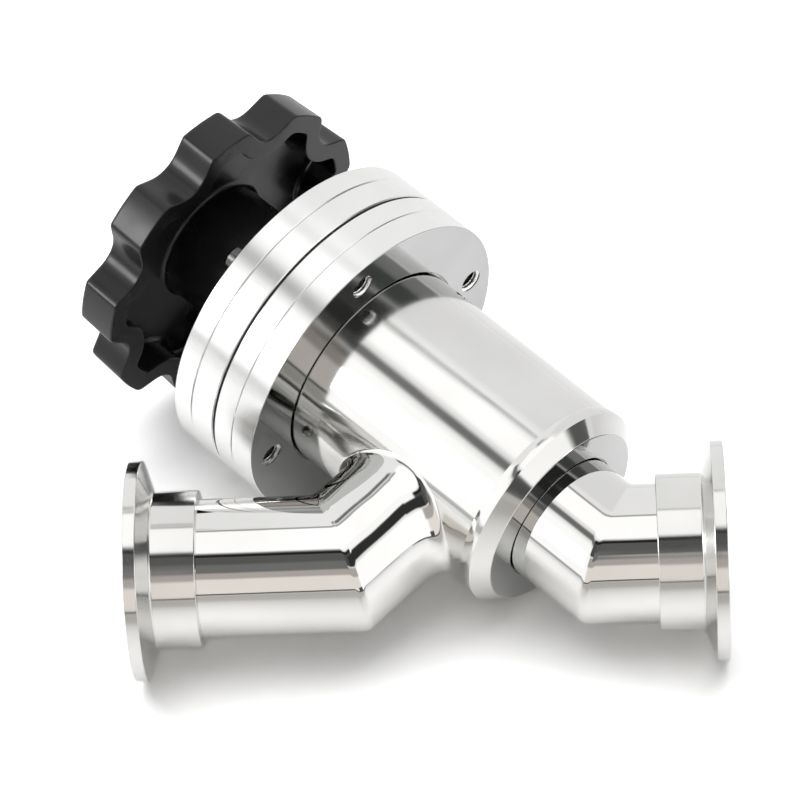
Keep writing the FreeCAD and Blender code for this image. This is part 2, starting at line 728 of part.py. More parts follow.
def valve_plug():
    """The plug, with a spigot for the seal below and a pocket for the spindle collar above."""
    body = new_body("valve_plug")
    pocket = d.collar_radius + d.free_gap
    thread_end = pocket_floor - d.plug_floor / 2
    revolve(body, [
        (d.screw_radius, seal_bottom), (d.plug_spigot, seal_bottom), (d.plug_spigot, plug_face),
        (plug_radius, plug_face), (plug_radius, plug_top), (d.retainer_radius, plug_top),
        (d.retainer_radius, retainer_bottom), (pocket, retainer_bottom), (pocket, pocket_floor),
        (ZERO, pocket_floor), (ZERO, thread_end), (d.screw_radius, thread_end)])


def plug_screw():
    """The screw that clamps the seal plate to the plug."""
    body = new_body("plug_screw")
    plate_bottom = seal_bottom - d.plate_thick
    head_bottom = plate_bottom - d.screw_head_height
    tip = pocket_floor - d.plug_floor / 2
    socket_top = head_bottom + d.screw_head_height / 2
    revolve(body, [
        (ZERO, head_bottom), (d.screw_head_radius, head_bottom), (d.screw_head_radius, plate_bottom),
        (d.screw_radius, plate_bottom), (d.screw_radius, tip), (ZERO, tip)])
    hex_socket(body, d.screw_key, ZERO, head_bottom, socket_top)


# Pieces that turn

def spindle():
    """The screw spindle with its lower collar and the stepped end for the handwheel."""
    body = new_body("spindle")
    revolve(body, [
        (ZERO, collar_bottom), (d.collar_radius, collar_bottom), (d.collar_radius, collar_top),
        (d.spindle_radius, collar_top), (d.spindle_radius, insert_bottom),
        (d.journal_radius, insert_bottom), (d.journal_radius, insert_top),
        (d.nut_radius, insert_top), (d.nut_radius, spindle_top), (ZERO, spindle_top)])


def handwheel():
    """The moulded wheel: a shallow cup with scalloped rim and a long hub."""
    frame = f"{BODY_FRAME} * {turned('0; 0; 1', d.lobe_turn)}"
    body = new_body("handwheel", frame)
    rim_inner = d.wheel_radius - d.wheel_wall
    top_radius = d.wheel_radius - d.wheel_draft
    revolve(body, [
        (neck_clear, hub_bottom), (d.hub_radius, hub_bottom), (d.hub_radius, wheel_floor),
        (rim_inner, wheel_floor), (rim_inner, d.wheel_bottom), (d.wheel_radius, d.wheel_bottom),
        (top_radius, wheel_top - d.wheel_break), (top_radius - d.wheel_break, wheel_top),
        (d.wheel_recess, wheel_top), (d.wheel_recess, insert_top), (d.insert_radius, insert_top),
        (d.insert_radius, hub_ceiling), (neck_clear, hub_ceiling)])
    walls = scallop_wall(body)
    repeat(body, [walls], d.lobe_count, "scallop_walls")
    cut = scallop_cut(body)
    repeat(body, [cut], d.lobe_count, "scallops")


def draw_scallop(sketch, radius, half):
    """A U-shaped outline, open to +X: a round bottom, two straight flanks and a closing line."""
    middle = d.scallop_root + d.scallop_radius
    touch = (middle - radius * cosine(d.scallop_slope), radius * sine(d.scallop_slope))
    end = (touch[0] + (half - touch[1]) * tangent(d.scallop_slope), half)
    centre = FreeCAD.Vector(middle.value, 0, 0)
    swing = math.radians(d.scallop_slope.value)
    circle = Part.Circle(centre, FreeCAD.Vector(0, 0, 1), radius.value)
    arc = Part.ArcOfCircle(circle, math.pi - swing, math.pi + swing)

    def corner(point, sign):
        return FreeCAD.Vector(point[0].value, sign * point[1].value, 0)

    sketch.addGeometry(arc, False)
    sketch.addGeometry(Part.LineSegment(corner(touch, -1), corner(end, -1)), False)
    sketch.addGeometry(Part.LineSegment(corner(end, -1), corner(end, 1)), False)
    sketch.addGeometry(Part.LineSegment(corner(end, 1), corner(touch, 1)), False)
    arc_id, low, close, high = range(4)
    sketch.addConstraint([
        Sketcher.Constraint("Tangent", arc_id, 2, low, 1),
        Sketcher.Constraint("Coincident", low, 2, close, 1),
        Sketcher.Constraint("Coincident", close, 2, high, 1),
        Sketcher.Constraint("Tangent", high, 2, arc_id, 1),
        Sketcher.Constraint("PointOnObject", arc_id, 3, -1),
        Sketcher.Constraint("Symmetric", close, 1, close, 2, -1)])
    bind(sketch, "DistanceX", middle, -1, 1, arc_id, 3)
    bind(sketch, "Radius", radius, arc_id)
    bind(sketch, "DistanceX", end[0], -1, 1, close, 2)
    bind(sketch, "DistanceY", half, -1, 1, close, 2)


def scallop_wall(body):
    """The thickness of the rim behind one scallop, from the open edge to the web."""
    sketch = new_sketch(body, "XY_Plane")
    sketch.setExpression("AttachmentOffset.Base.z", d.wheel_bottom.text)
    draw_scallop(sketch, d.scallop_radius + d.wheel_wall, d.wall_half)
    pad = body.newObject("PartDesign::Pad", "scallop_wall")
    pad.Profile = sketch
    pad.Type = "Length"
    pad.setExpression("Length", (wheel_floor - d.wheel_bottom).text)
    doc.recompute()
    return pad


def scallop_cut(body):
    sketch = new_sketch(body, "XY_Plane")
    draw_scallop(sketch, d.scallop_radius, d.scallop_half)
    return upward_pocket(body, sketch, d.wheel_bottom, wheel_top, "scallop_cut")


def wheel_nut():
    """A thin hexagon nut."""
    body = new_body("wheel_nut")
    prism = body.newObject("PartDesign::AdditivePrism", "nut_body")
    prism.Polygon = HEX_SIDES
    prism.setExpression("Circumradius", d.nut_corner.text)
    prism.setExpression("Height", d.nut_thick.text)
    prism.setExpression("Placement", f"placement(vector(0; 0; {washer_top.text}); "
                                     f"rotation(vector(0; 0; 1); 0))")
    doc.recompute()
    cylinder_cut(body, d.nut_radius, washer_top, nut_top)


def wheel_cap():
    """The plug-in cap that covers the nut."""
    body = new_body("wheel_cap")
    top = wheel_top + d.cap_rise
    under = top - d.cap_plate
    skirt_end = under - d.cap_skirt
    skirt_inner = d.wheel_recess - d.cap_skirt_wall
    revolve(body, [
        (ZERO, under), (skirt_inner, under), (skirt_inner, skirt_end), (d.wheel_recess, skirt_end),
        (d.wheel_recess, top - d.cap_rise), (d.wheel_recess - d.cap_rise, top), (ZERO, top)])


def build():
    inlet_elbow = -d.mitre_reach
    inlet_end = ferrule("inlet_ferrule", -d.inlet_reach, -1)
    pipe_tube("inlet_tube", inlet_end, inlet_elbow, (d.body_angle - 90) / 2, 1, d.tube_radius)
    branch_tube()
    branch_weld()
    body_tube()
    seat_ring()
    outlet_leg()
    outlet_end = ferrule("outlet_ferrule", d.outlet_reach, 1)
    pipe_tube("outlet_tube", outlet_end, ZERO, d.body_angle / 2, -1, -d.tube_radius)

    body_flange()
    seal_cord("body_seal", [flange_top - d.body_seal_drop], body_inner - d.body_seal_section, body_inner)
    stem_housing()
    ring("guide_bush", spindle_bore, d.bush_radius, boss_end, bush_end)
    seal_cord("stem_seals", stem_seal_middles(), spindle_bore, d.stem_seal_groove)
    bonnet_gasket()
    bonnet_disc()
    thread_bush()
    cap_disc()
    bonnet_screws()
    cap_screws()

    valve_plug()
    ring("plug_seal", d.plug_spigot, plug_seal_radius, seal_bottom, plug_face)
    ring("seal_plate", d.screw_radius, plate_radius, seal_bottom - d.plate_thick, seal_bottom)
    plug_screw()
    ring("plug_retainer", spindle_clear, d.retainer_radius, retainer_bottom, plug_top)

    spindle()
    handwheel()
    ring("wheel_insert", d.journal_radius, d.insert_radius, insert_bottom, insert_top)
    ring("wheel_washer", d.nut_radius, d.washer_radius, insert_top, washer_top)
    wheel_nut()
    wheel_cap()


def check_objects():
    """Stops the build when any object of the document is in error or has a bad shape."""
    for item in doc.Objects:
        wrong = {"Invalid", "Error"} & set(item.State)
        if wrong:
            raise ValueError(f"{item.Name} is {sorted(wrong)}")
    for body in nodes:
        shape = body.Shape
        if shape.isNull() or not shape.isValid() or shape.Volume <= 0:
            raise ValueError(f"{body.Label} has no valid shape")


def write_parts():
    os.makedirs("parts", exist_ok=True)
    for body in nodes:
        body.Shape.exportStep(f"parts/{body.Label}.step")


build()
doc.recompute()
check_objects()
write_parts()
for node in nodes:
    box = node.Shape.BoundBox
    print(f"{node.Label:16s} solids {len(node.Shape.Solids)} volume {node.Shape.Volume:10.1f}",
          f"x {box.XMin:8.2f} {box.XMax:8.2f} y {box.YMin:8.2f} {box.YMax:8.2f}",
          f"z {box.ZMin:8.2f} {box.ZMax:8.2f}")
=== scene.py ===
import json
import math

import bmesh
import bpy
from mathutils import Matrix, Vector

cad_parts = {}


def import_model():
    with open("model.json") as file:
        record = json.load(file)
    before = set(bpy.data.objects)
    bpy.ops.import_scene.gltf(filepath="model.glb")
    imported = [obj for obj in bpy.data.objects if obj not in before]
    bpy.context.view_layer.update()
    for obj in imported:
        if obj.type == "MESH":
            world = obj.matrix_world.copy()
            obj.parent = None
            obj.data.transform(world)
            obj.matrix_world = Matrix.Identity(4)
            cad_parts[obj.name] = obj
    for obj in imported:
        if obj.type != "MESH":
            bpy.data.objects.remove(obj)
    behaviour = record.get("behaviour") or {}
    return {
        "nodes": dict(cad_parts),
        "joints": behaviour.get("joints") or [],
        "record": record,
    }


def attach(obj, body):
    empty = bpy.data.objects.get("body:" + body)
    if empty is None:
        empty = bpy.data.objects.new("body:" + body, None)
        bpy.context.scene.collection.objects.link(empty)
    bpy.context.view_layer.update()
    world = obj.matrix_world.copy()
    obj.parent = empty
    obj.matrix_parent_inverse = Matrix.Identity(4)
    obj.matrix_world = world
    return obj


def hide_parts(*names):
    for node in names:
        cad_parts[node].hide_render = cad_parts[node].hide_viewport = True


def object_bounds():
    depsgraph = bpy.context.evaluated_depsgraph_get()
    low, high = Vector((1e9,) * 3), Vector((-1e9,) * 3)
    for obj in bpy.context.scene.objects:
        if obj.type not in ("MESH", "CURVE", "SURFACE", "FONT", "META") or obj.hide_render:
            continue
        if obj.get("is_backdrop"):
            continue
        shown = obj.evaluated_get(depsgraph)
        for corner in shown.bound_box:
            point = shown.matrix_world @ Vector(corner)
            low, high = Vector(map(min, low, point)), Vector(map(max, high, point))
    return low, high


# In-line valve with an inclined body, mirror-polished, with a black lobed handwheel.
# Lengths in this script are millimetres until a mesh is written; angles are degrees.

MM = 0.001

# Valve sizes, the same as in the part's source. Heights are along the body axis.
BODY_ANGLE = 45.0
INLET_REACH = 108.5
OUTLET_REACH = 26.85
MITRE_REACH = 61.0
BRANCH_REACH = MITRE_REACH * math.sin(math.radians(BODY_ANGLE))
TUBE_RADIUS = 16.0
TUBE_INNER = 14.0
FERRULE_RADIUS = 25.25
FERRULE_RIM = 2.95
FERRULE_CONE = 2.35
FERRULE_LENGTH = 15.6
NECK_RADIUS = 18.1
NECK_SOCKET = 6.0
SOCKET_GAP = 1.0
SEAL_TRACK_RADIUS = 21.8
SEAL_TRACK_DEPTH = 1.5
BODY_RADIUS = 26.25
BODY_INNER = 24.25
END_FACE = 15.1
LEG_END = 18.1
BEVEL_TOP = 18.4
BEVEL_INSET = 3.6
BAND_RADIUS = 26.5
BAND_TOP = 21.5
SEAT_BASE = 20.0
SEAT_TOP = 25.0
SEAT_OUTER = 16.5
FLANGE_FACE = 75.95
TUBE_END = 79.95
FLANGE_TOP = 82.6
STACK_RADIUS = 39.5
BOLT_CIRCLE = 33.2
SCREW_COUNT = 4
SCREW_RADIUS = 3.0
SCREW_TIP = 78.0
WHEEL_BOTTOM = 123.2
WHEEL_TOP = 134.3
WHEEL_FLOOR = 131.0
WHEEL_RADIUS = 39.8
WHEEL_INNER = 34.8
WHEEL_DRAFT = 0.5
LOBE_COUNT = 9
LOBE_TURN = -22.9
SCALLOP_MIDDLE = 40.6
SCALLOP_RADIUS = 6.1
SCALLOP_WALL = 5.0
SCALLOP_SLOPE = 39.0
HUB_RADIUS = 15.25
HUB_BOTTOM = 102.3
HUB_BORE = 11.3
HUB_CEILING = 118.0
INSERT_RADIUS = 9.0
INSERT_TOP = 127.5
RECESS_RADIUS = 12.0

# Mesh steps round a whole turn, round a small hole, and on each softened edge of EDGE millimetres
ROUND_STEPS = 240
SMALL_STEPS = 48
EDGE = 0.25
EDGE_STEPS = 3


class Axes:
    """A right-handed frame in the object's space, with its origin in millimetres."""

    def __init__(self, origin, x, y, z):
        self.origin = Vector(origin)
        self.x = Vector(x)
        self.y = Vector(y)
        self.z = Vector(z)

    def point(self, x, y, z):
        return (self.origin + self.x * x + self.y * y + self.z * z) * MM

    def direction(self, x, y, z):
        return self.x * x + self.y * y + self.z * z

    def turned(self, degrees):
        """The same frame turned round its own z."""
        c, s = math.cos(math.radians(degrees)), math.sin(math.radians(degrees))
        return Axes(self.origin, self.x * c + self.y * s, self.y * c - self.x * s, self.z)

    def moved(self, x, y, z):
        return Axes(self.origin + self.direction(x, y, z), self.x, self.y, self.z)


def valve_axes(frame):
    """The body, pipe and branch frames, worked out from the body axis in the record."""
    joint = next(j for j in frame["joints"] if j["type"] == "slide")
    body_axis = Vector(joint["axis"]).normalized()
    pipe = Vector((1, 0, 0))
    angle = math.radians(BODY_ANGLE)
    square = ((body_axis + pipe * math.cos(angle)) / math.sin(angle)).normalized()
    out = pipe.cross(square)
    across = pipe * math.sin(angle) + square * math.cos(angle)
    elbow = Vector((-OUTLET_REACH, 0, 0))
    return {
        "pipe": Axes(elbow, square, out, pipe),
        "body": Axes(elbow, across, -out, body_axis),
        "branch": Axes(elbow + body_axis * BRANCH_REACH, body_axis, -out, across),
        "plane": Axes(elbow, pipe, square, out),
    }


# Materials

# How fine each noise is, in cycles per metre
CLOUD_SCALE = 40
PLASTIC_CLOUD_SCALE = 60
GLOSS_SCALE = 90
PLASTIC_GLOSS_SCALE = 150
SKIN_SCALE = 2500
PLASTIC_SKIN_SCALE = 1800
FLOW_SCALE = 30
WAVE_SCALE = 60

# The part of a noise's range that is drawn out over the whole range of a value or a colour
NOISE_RANGE = (0.3, 0.7)
COLOUR_RANGE = (0.35, 0.65)

# Heights in millimetres and the pitch of the lathe's rings
STEEL_WAVE = 0.05
STEEL_SKIN = 0.002
SKIN_STRENGTH = 0.1
FLOW_HEIGHT = 0.1
FLOW_STRENGTH = 0.5
GRAIN_STRENGTH = 0.35
RING_PITCH = 0.25


def new_material(name):
    material = bpy.data.materials.new(name)
    material.use_nodes = True
    tree = material.node_tree
    shader = next(n for n in tree.nodes if n.type == "BSDF_PRINCIPLED")
    return material, tree, shader


def add_node(tree, kind, **values):
    node = tree.nodes.new(kind)
    for key, value in values.items():
        setattr(node, key, value)
    return node


def noise(tree, scale, detail):
    """Noise in object space."""
    coordinates = add_node(tree, "ShaderNodeTexCoord")
    texture = add_node(tree, "ShaderNodeTexNoise")
    texture.inputs["Scale"].default_value = scale
    texture.inputs["Detail"].default_value = detail
    tree.links.new(coordinates.outputs["Object"], texture.inputs["Vector"])
    return texture.outputs["Fac"]


def remap(tree, source, low, high):
    """Turns a noise into a value between low and high."""
    node = add_node(tree, "ShaderNodeMapRange")
    node.inputs["From Min"].default_value = NOISE_RANGE[0]
    node.inputs["From Max"].default_value = NOISE_RANGE[1]
    node.inputs["To Min"].default_value = low
    node.inputs["To Max"].default_value = high
    tree.links.new(source, node.inputs["Value"])
    return node.outputs["Result"]


def two_colours(tree, source, colours):
    """Turns a noise into a colour between the two given ones."""
    ramp = add_node(tree, "ShaderNodeValToRGB")
    for element, position, colour in zip(ramp.color_ramp.elements, COLOUR_RANGE, colours):
        element.position = position
        element.color = (*colour, 1)
    tree.links.new(source, ramp.inputs["Fac"])
    return ramp.outputs["Color"]


def bump(tree, shader, layers):
    """Chains bumps; each layer is a height source, a strength and a distance in millimetres."""
    normal = None
    for source, strength, distance in layers:
        node = add_node(tree, "ShaderNodeBump")
        node.inputs["Strength"].default_value = strength
        node.inputs["Distance"].default_value = distance * MM
        tree.links.new(source, node.inputs["Height"])
        if normal is not None:
            tree.links.new(normal, node.inputs["Normal"])
        normal = node.outputs["Normal"]
    tree.links.new(normal, shader.inputs["Normal"])


def vector_math(tree, operation, first, second):
    node = add_node(tree, "ShaderNodeVectorMath", operation=operation)
    for socket, value in zip(node.inputs, (first, second)):
        if isinstance(value, Vector):
            socket.default_value = value
        else:
            tree.links.new(value, socket)
    return node.outputs["Vector"]


def lathe_fields(tree, axes):
    """At each point, the direction round the lathe axis and the offset from the axis' origin."""
    place = add_node(tree, "ShaderNodeTexCoord").outputs["Object"]
    offset = vector_math(tree, "SUBTRACT", place, axes.origin * MM)
    return vector_math(tree, "CROSS_PRODUCT", axes.z, offset), offset


def turned_marks(tree, axes):
    """Fine rings round the lathe axis, as a height for a bump."""
    round_way, offset = lathe_fields(tree, axes)
    along = add_node(tree, "ShaderNodeVectorMath", operation="DOT_PRODUCT")
    tree.links.new(offset, along.inputs[0])
    along.inputs[1].default_value = axes.z
    out = add_node(tree, "ShaderNodeVectorMath", operation="LENGTH")
    tree.links.new(round_way, out.inputs[0])
    both = add_node(tree, "ShaderNodeCombineXYZ")
    tree.links.new(along.outputs["Value"], both.inputs["X"])
    tree.links.new(out.outputs["Value"], both.inputs["Y"])
    texture = add_node(tree, "ShaderNodeTexNoise", noise_dimensions="2D")
    texture.inputs["Scale"].default_value = 1 / (RING_PITCH * MM)
    texture.inputs["Detail"].default_value = 2.0
    tree.links.new(both.outputs[0], texture.inputs["Vector"])
    return texture.outputs["Fac"]


def steel(name, colours, rough, wave=STEEL_WAVE, wave_scale=WAVE_SCALE, axes=None, drawn=0.0, marks=0.0):
    """Stainless steel with a faint cloudiness, uneven gloss and a slightly wavy skin.

    With axes it has a turned finish: drawn is how far its reflections are drawn out along the
    profile, and marks is the height of its rings.
    """
    material, tree, shader = new_material(name)
    shader.inputs["Metallic"].default_value = 1.0
    clouds = noise(tree, CLOUD_SCALE, 3)
    tree.links.new(two_colours(tree, clouds, colours), shader.inputs["Base Color"])
    tree.links.new(remap(tree, noise(tree, GLOSS_SCALE, 4), *rough), shader.inputs["Roughness"])
    layers = [(noise(tree, wave_scale, 1), 1.0, wave),
              (noise(tree, SKIN_SCALE, 2), SKIN_STRENGTH, STEEL_SKIN)]
    if axes:
        shader.inputs["Anisotropic"].default_value = drawn
        normal = add_node(tree, "ShaderNodeNewGeometry").outputs["Normal"]
        round_way, offset = lathe_fields(tree, axes)
        tree.links.new(vector_math(tree, "CROSS_PRODUCT", normal, round_way), shader.inputs["Tangent"])
        layers.append((turned_marks(tree, axes), 1.0, marks))
    bump(tree, shader, layers)
    return material


def plastic(name, colours, rough, grain, shine=0.5):
    """Moulded plastic with a fine skin grain and faint flow marks; grain is in millimetres."""
    material, tree, shader = new_material(name)
    clouds = noise(tree, PLASTIC_CLOUD_SCALE, 3)
    tree.links.new(two_colours(tree, clouds, colours), shader.inputs["Base Color"])
    tree.links.new(remap(tree, noise(tree, PLASTIC_GLOSS_SCALE, 4), *rough), shader.inputs["Roughness"])
    shader.inputs["Specular IOR Level"].default_value = shine
    bump(tree, shader, [(noise(tree, FLOW_SCALE, 2), FLOW_STRENGTH, FLOW_HEIGHT),
                        (noise(tree, PLASTIC_SKIN_SCALE, 3), GRAIN_STRENGTH, grain)])
    return material


# The darker and the lighter colour that each material wanders between
STEEL = ((0.70, 0.695, 0.68), (0.75, 0.745, 0.73))
FERRULE_STEEL = ((0.66, 0.655, 0.64), (0.72, 0.715, 0.70))
# Painted light: a brighter copy of the steel, so that the stack's turned discs come out nearly white
LIT_DISC_STEEL = ((0.82, 0.818, 0.81), (0.87, 0.868, 0.86))
# Painted shade: a darker copy of the steel, so that the flange's underside and the seat ring's end face
# come out dark
SHADED_FACE_STEEL = ((0.48, 0.485, 0.48), (0.54, 0.545, 0.54))
# Painted shade: the cap screws' steel made nearly black, so that they come out dim
SHADED_SCREW_STEEL = ((0.10, 0.10, 0.10), (0.16, 0.16, 0.155))
INNER_STEEL = ((0.50, 0.50, 0.49), (0.60, 0.60, 0.59))
# Painted highlight: a steel brighter than the rest, so that the threads in the holes' mouths glint
GLINT_THREAD_STEEL = ((0.90, 0.90, 0.89), (0.95, 0.95, 0.94))
BRONZE = ((0.52, 0.34, 0.15), (0.60, 0.41, 0.19))
WHEEL_PLASTIC = ((0.006, 0.006, 0.0063), (0.009, 0.009, 0.0094))
RUBBER = ((0.012, 0.012, 0.012), (0.02, 0.02, 0.02))
WHITE_POLYMER = ((0.70, 0.70, 0.68), (0.78, 0.78, 0.76))


def make_materials(axes):
    """Every finish; rough is the range of a material's roughness."""
    pipe, body = axes["pipe"], axes["body"]
    return {
        "mirror": steel("mirror_steel", STEEL, rough=(0.02, 0.05)),
        "branch": steel("hand_polished_steel", STEEL, rough=(0.03, 0.06), wave=0.30, wave_scale=70),
        "turned_pipe": steel("turned_pipe_steel", FERRULE_STEEL, rough=(0.12, 0.16), wave=0.03,
                             axes=pipe, drawn=0.85, marks=0.0012),
        "turned_body": steel("turned_body_steel", STEEL, rough=(0.08, 0.11), wave=0.04,
                             axes=body, drawn=0.85, marks=0.0006),
        "turned_end": steel("turned_end_steel", FERRULE_STEEL, rough=(0.05, 0.08), wave=0.08,
                            axes=body, drawn=0.6, marks=0.0006),
        "band": steel("ground_weld_steel", STEEL, rough=(0.06, 0.10), wave=0.5, wave_scale=130),
        # its darker colour is painted shade on the flange and the seat ring; its roughness and waviness
        # are the ground finish
        "face": steel("ground_face_steel_painted_shade", SHADED_FACE_STEEL, rough=(0.05, 0.09), wave=0.10, wave_scale=50),
        # painted shade: the screws' steel darkened
        "screw": steel("screw_steel_painted_shade", SHADED_SCREW_STEEL, rough=(0.18, 0.28)),
        # its brighter colour is painted light; its anisotropy and rings are the turned finish
        "turned_disc": steel("turned_disc_steel_painted_light", LIT_DISC_STEEL, rough=(0.22, 0.27), wave=0.03,
                             axes=body, drawn=0.7, marks=0.0015),
        "inner": steel("machined_steel", INNER_STEEL, rough=(0.22, 0.34)),
        # painted highlight: the threads' steel brightened
        "thread": steel("thread_steel_painted_glint", GLINT_THREAD_STEEL, rough=(0.10, 0.16)),
        "plastic": plastic("wheel_plastic", WHEEL_PLASTIC, rough=(0.22, 0.28), grain=0.010, shine=0.42),
        "rubber": plastic("seal_rubber", RUBBER, rough=(0.6, 0.75), grain=0.03),
        "polymer": plastic("white_polymer", WHITE_POLYMER, rough=(0.3, 0.42), grain=0.01),
        "bronze": steel("turned_bronze", BRONZE, rough=(0.2, 0.32)),
    }


SLOT_MATERIAL = {
    "polished_stainless": "mirror",
    "machined_stainless": "inner",
    "black_plastic": "plastic",
    "black_rubber": "rubber",
    "white_seal": "polymer",
    "bronze": "bronze",
}


def dress_frame(frame, materials):
    """Gives every CAD node the finish of its slot."""
    slots = {part["node"]: part["material_slot"] for part in frame["record"]["subparts"]}
    for name, node in frame["nodes"].items():
        node.data.materials.clear()
        node.data.materials.append(materials[SLOT_MATERIAL[slots[name]]])


# Meshes

def soften(outline):
    """Rounds the corners of an outline; a corner is (radius, height) or (radius, height, round)."""
    points = []
    count = len(outline)
    for i, corner in enumerate(outline):
        here = Vector(corner[:2])
        if len(corner) == 2:
            points.append(here)
            continue
        size = corner[2]
        before = (Vector(outline[i - 1][:2]) - here).normalized()
        after = (Vector(outline[(i + 1) % count][:2]) - here).normalized()
        for k in range(EDGE_STEPS + 1):
            t = k / EDGE_STEPS
            start = here + before * size
            end = here + after * size
            points.append(start * (1 - t) ** 2 + here * (2 * t * (1 - t)) + end * t ** 2)
    return points


def add_face(build, *corners):
    """A face over the corners that exist, without doubles."""
    distinct = list(dict.fromkeys(c for c in corners if c is not None))
    if len(distinct) > 2:
        build.faces.new(distinct)


def ring_mesh(name, axes, rings, closed=True):
    """A mesh over rings of points that close on themselves; a ring of one point is a pole."""
    build = bmesh.new()
    levels = [[build.verts.new(axes.point(*p)) for p in ring] for ring in rings]
    pairs = list(zip(levels, levels[1:]))
    if closed:
        pairs.append((levels[-1], levels[0]))
    for low, high in pairs:
        count = max(len(low), len(high))
        for i in range(count):
            j = (i + 1) % count
            add_face(build, low[i % len(low)], low[j % len(low)], high[j % len(high)], high[i % len(high)])
    return write_mesh(name, build)


def write_mesh(name, build):
    bmesh.ops.recalc_face_normals(build, faces=build.faces)
    mesh = bpy.data.meshes.new(name)
    build.to_mesh(mesh)
    build.free()
    return mesh


def turned_mesh(name, axes, outline, steps=ROUND_STEPS):
    """A lathed solid from an outline of (radius, height) corners."""
    rings = []
    for radius, height in soften(outline):
        count = steps if radius > 0 else 1
        angles = [2 * math.pi * i / steps for i in range(count)]
        rings.append([(radius * math.cos(a), radius * math.sin(a), height) for a in angles])
    return ring_mesh(name, axes, rings, closed=len(rings[0]) > 1)


def apply_modifiers(piece):
    depsgraph = bpy.context.evaluated_depsgraph_get()
    shaped = bpy.data.meshes.new_from_object(piece.evaluated_get(depsgraph))
    piece.modifiers.clear()
    piece.data = shaped


def new_object(name, data):
    """An object in the scene that shows a mesh, a light or a camera."""
    placed = bpy.data.objects.new(name, data)
    bpy.context.scene.collection.objects.link(placed)
    return placed


def drill(piece, cutters):
    """Cuts the solids out of the piece and deletes them."""
    for cutter in cutters:
        modifier = piece.modifiers.new("cut", "BOOLEAN")
        modifier.operation = "DIFFERENCE"
        modifier.solver = "EXACT"
        modifier.object = cutter
    apply_modifiers(piece)
    for cutter in cutters:
        bpy.data.objects.remove(cutter)


SHARP_ANGLE = 38
FLAT_WEIGHT = 100


def finish_piece(piece, material, body="valve", nodes=()):
    """Smooth faces with clean flats, then the material, the body it rides on and what it replaces."""
    mesh = piece.data
    mesh.shade_smooth()
    mesh.set_sharp_from_angle(angle=math.radians(SHARP_ANGLE))
    normals = piece.modifiers.new("normals", "WEIGHTED_NORMAL")
    normals.keep_sharp = True
    normals.weight = FLAT_WEIGHT
    apply_modifiers(piece)
    piece.data.materials.clear()
    piece.data.materials.append(material)
    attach(piece, body)
    if nodes:
        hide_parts(*nodes)


def add_edge_material(piece, axes, material, radius, tilt):
    """Gives one more material to faces beyond a radius that look away from the axis.

    tilt is how far such a face may lean towards the axis: 0 for a cylinder only, 1 for any face.
    """
    piece.data.materials.append(material)
    last = len(piece.data.materials) - 1
    for face in piece.data.polygons:
        offset = face.center / MM - axes.origin
        out = (offset - axes.z * offset.dot(axes.z)).length
        if out > radius and abs(face.normal.dot(axes.z)) < tilt:
            face.material_index = last


# Pipe line

def ferrule(name, axes, face, outward, material):
    """A clamp ferrule with softened rim, conical back and neck; returns where its tube ends."""
    back = face - FERRULE_RIM * outward
    cone_end = back - FERRULE_CONE * outward
    neck_end = face - FERRULE_LENGTH * outward
    socket_end = neck_end + NECK_SOCKET * outward
    half = SEAL_TRACK_DEPTH / 2
    floor = face - SEAL_TRACK_DEPTH * outward
    outline = [
        (TUBE_INNER, face, EDGE), (SEAL_TRACK_RADIUS - SEAL_TRACK_DEPTH, face, EDGE),
        (SEAL_TRACK_RADIUS - half, floor, EDGE), (SEAL_TRACK_RADIUS + half, floor, EDGE),
        (SEAL_TRACK_RADIUS + SEAL_TRACK_DEPTH, face, EDGE), (FERRULE_RADIUS, face, EDGE),
        (FERRULE_RADIUS, back, EDGE), (NECK_RADIUS, cone_end, 2 * EDGE), (NECK_RADIUS, neck_end, EDGE),
        (TUBE_RADIUS, neck_end), (TUBE_RADIUS, socket_end), (TUBE_INNER, socket_end)]
    piece = new_object(name + "_piece", turned_mesh(name, axes, outline))
    finish_piece(piece, material, nodes=[name])
    return socket_end - SOCKET_GAP * outward


# How far before a mitre the tube's wall bends over, and in how many steps
SEAM_BLEND = 1.3
SEAM_STEPS = 6


def mitred_tube(name, axes, first, last, slopes, material):
    """A tube between two ends; each end gives a height for a point of the cross-section.

    slopes holds the slant of each end. Towards a slanted end the wall bends over to meet the next
    tube's wall, as a ground weld does.
    """
    def ring(radius, end, side, inset=0.0, slope=0.0):
        bend = side * slope * max(SEAM_BLEND - inset, 0) ** 2 / (2 * SEAM_BLEND)
        points = []
        for i in range(ROUND_STEPS):
            angle = 2 * math.pi * i / ROUND_STEPS
            reach = radius - bend * math.cos(angle)
            x, y = reach * math.cos(angle), reach * math.sin(angle)
            points.append((x, y, end(x, y) - side * inset))
        return points

    def outer_rings(end, side, slope):
        insets = [SEAM_BLEND * k / SEAM_STEPS for k in range(SEAM_STEPS + 1)]
        return [ring(TUBE_RADIUS, end, side, inset, slope) for inset in insets]

    rings = [ring(TUBE_INNER, first, -1)] + outer_rings(first, -1, slopes[0])
    rings += reversed(outer_rings(last, 1, slopes[1]))
    rings.append(ring(TUBE_INNER, last, 1))
    piece = new_object(name + "_piece", ring_mesh(name, axes, rings))
    finish_piece(piece, material, nodes=[name])


def flat_end(height):
    return lambda x, y: height


def mitre_end(height, slope):
    """The slanted plane of a mitre; slope is the rise per millimetre along the local x."""
    return lambda x, y: height + x * slope


def saddle_end(radius):
    """Where a tube that runs square to the body meets a cylinder round the body axis."""
    return lambda x, y: -math.sqrt(radius * radius - y * y)


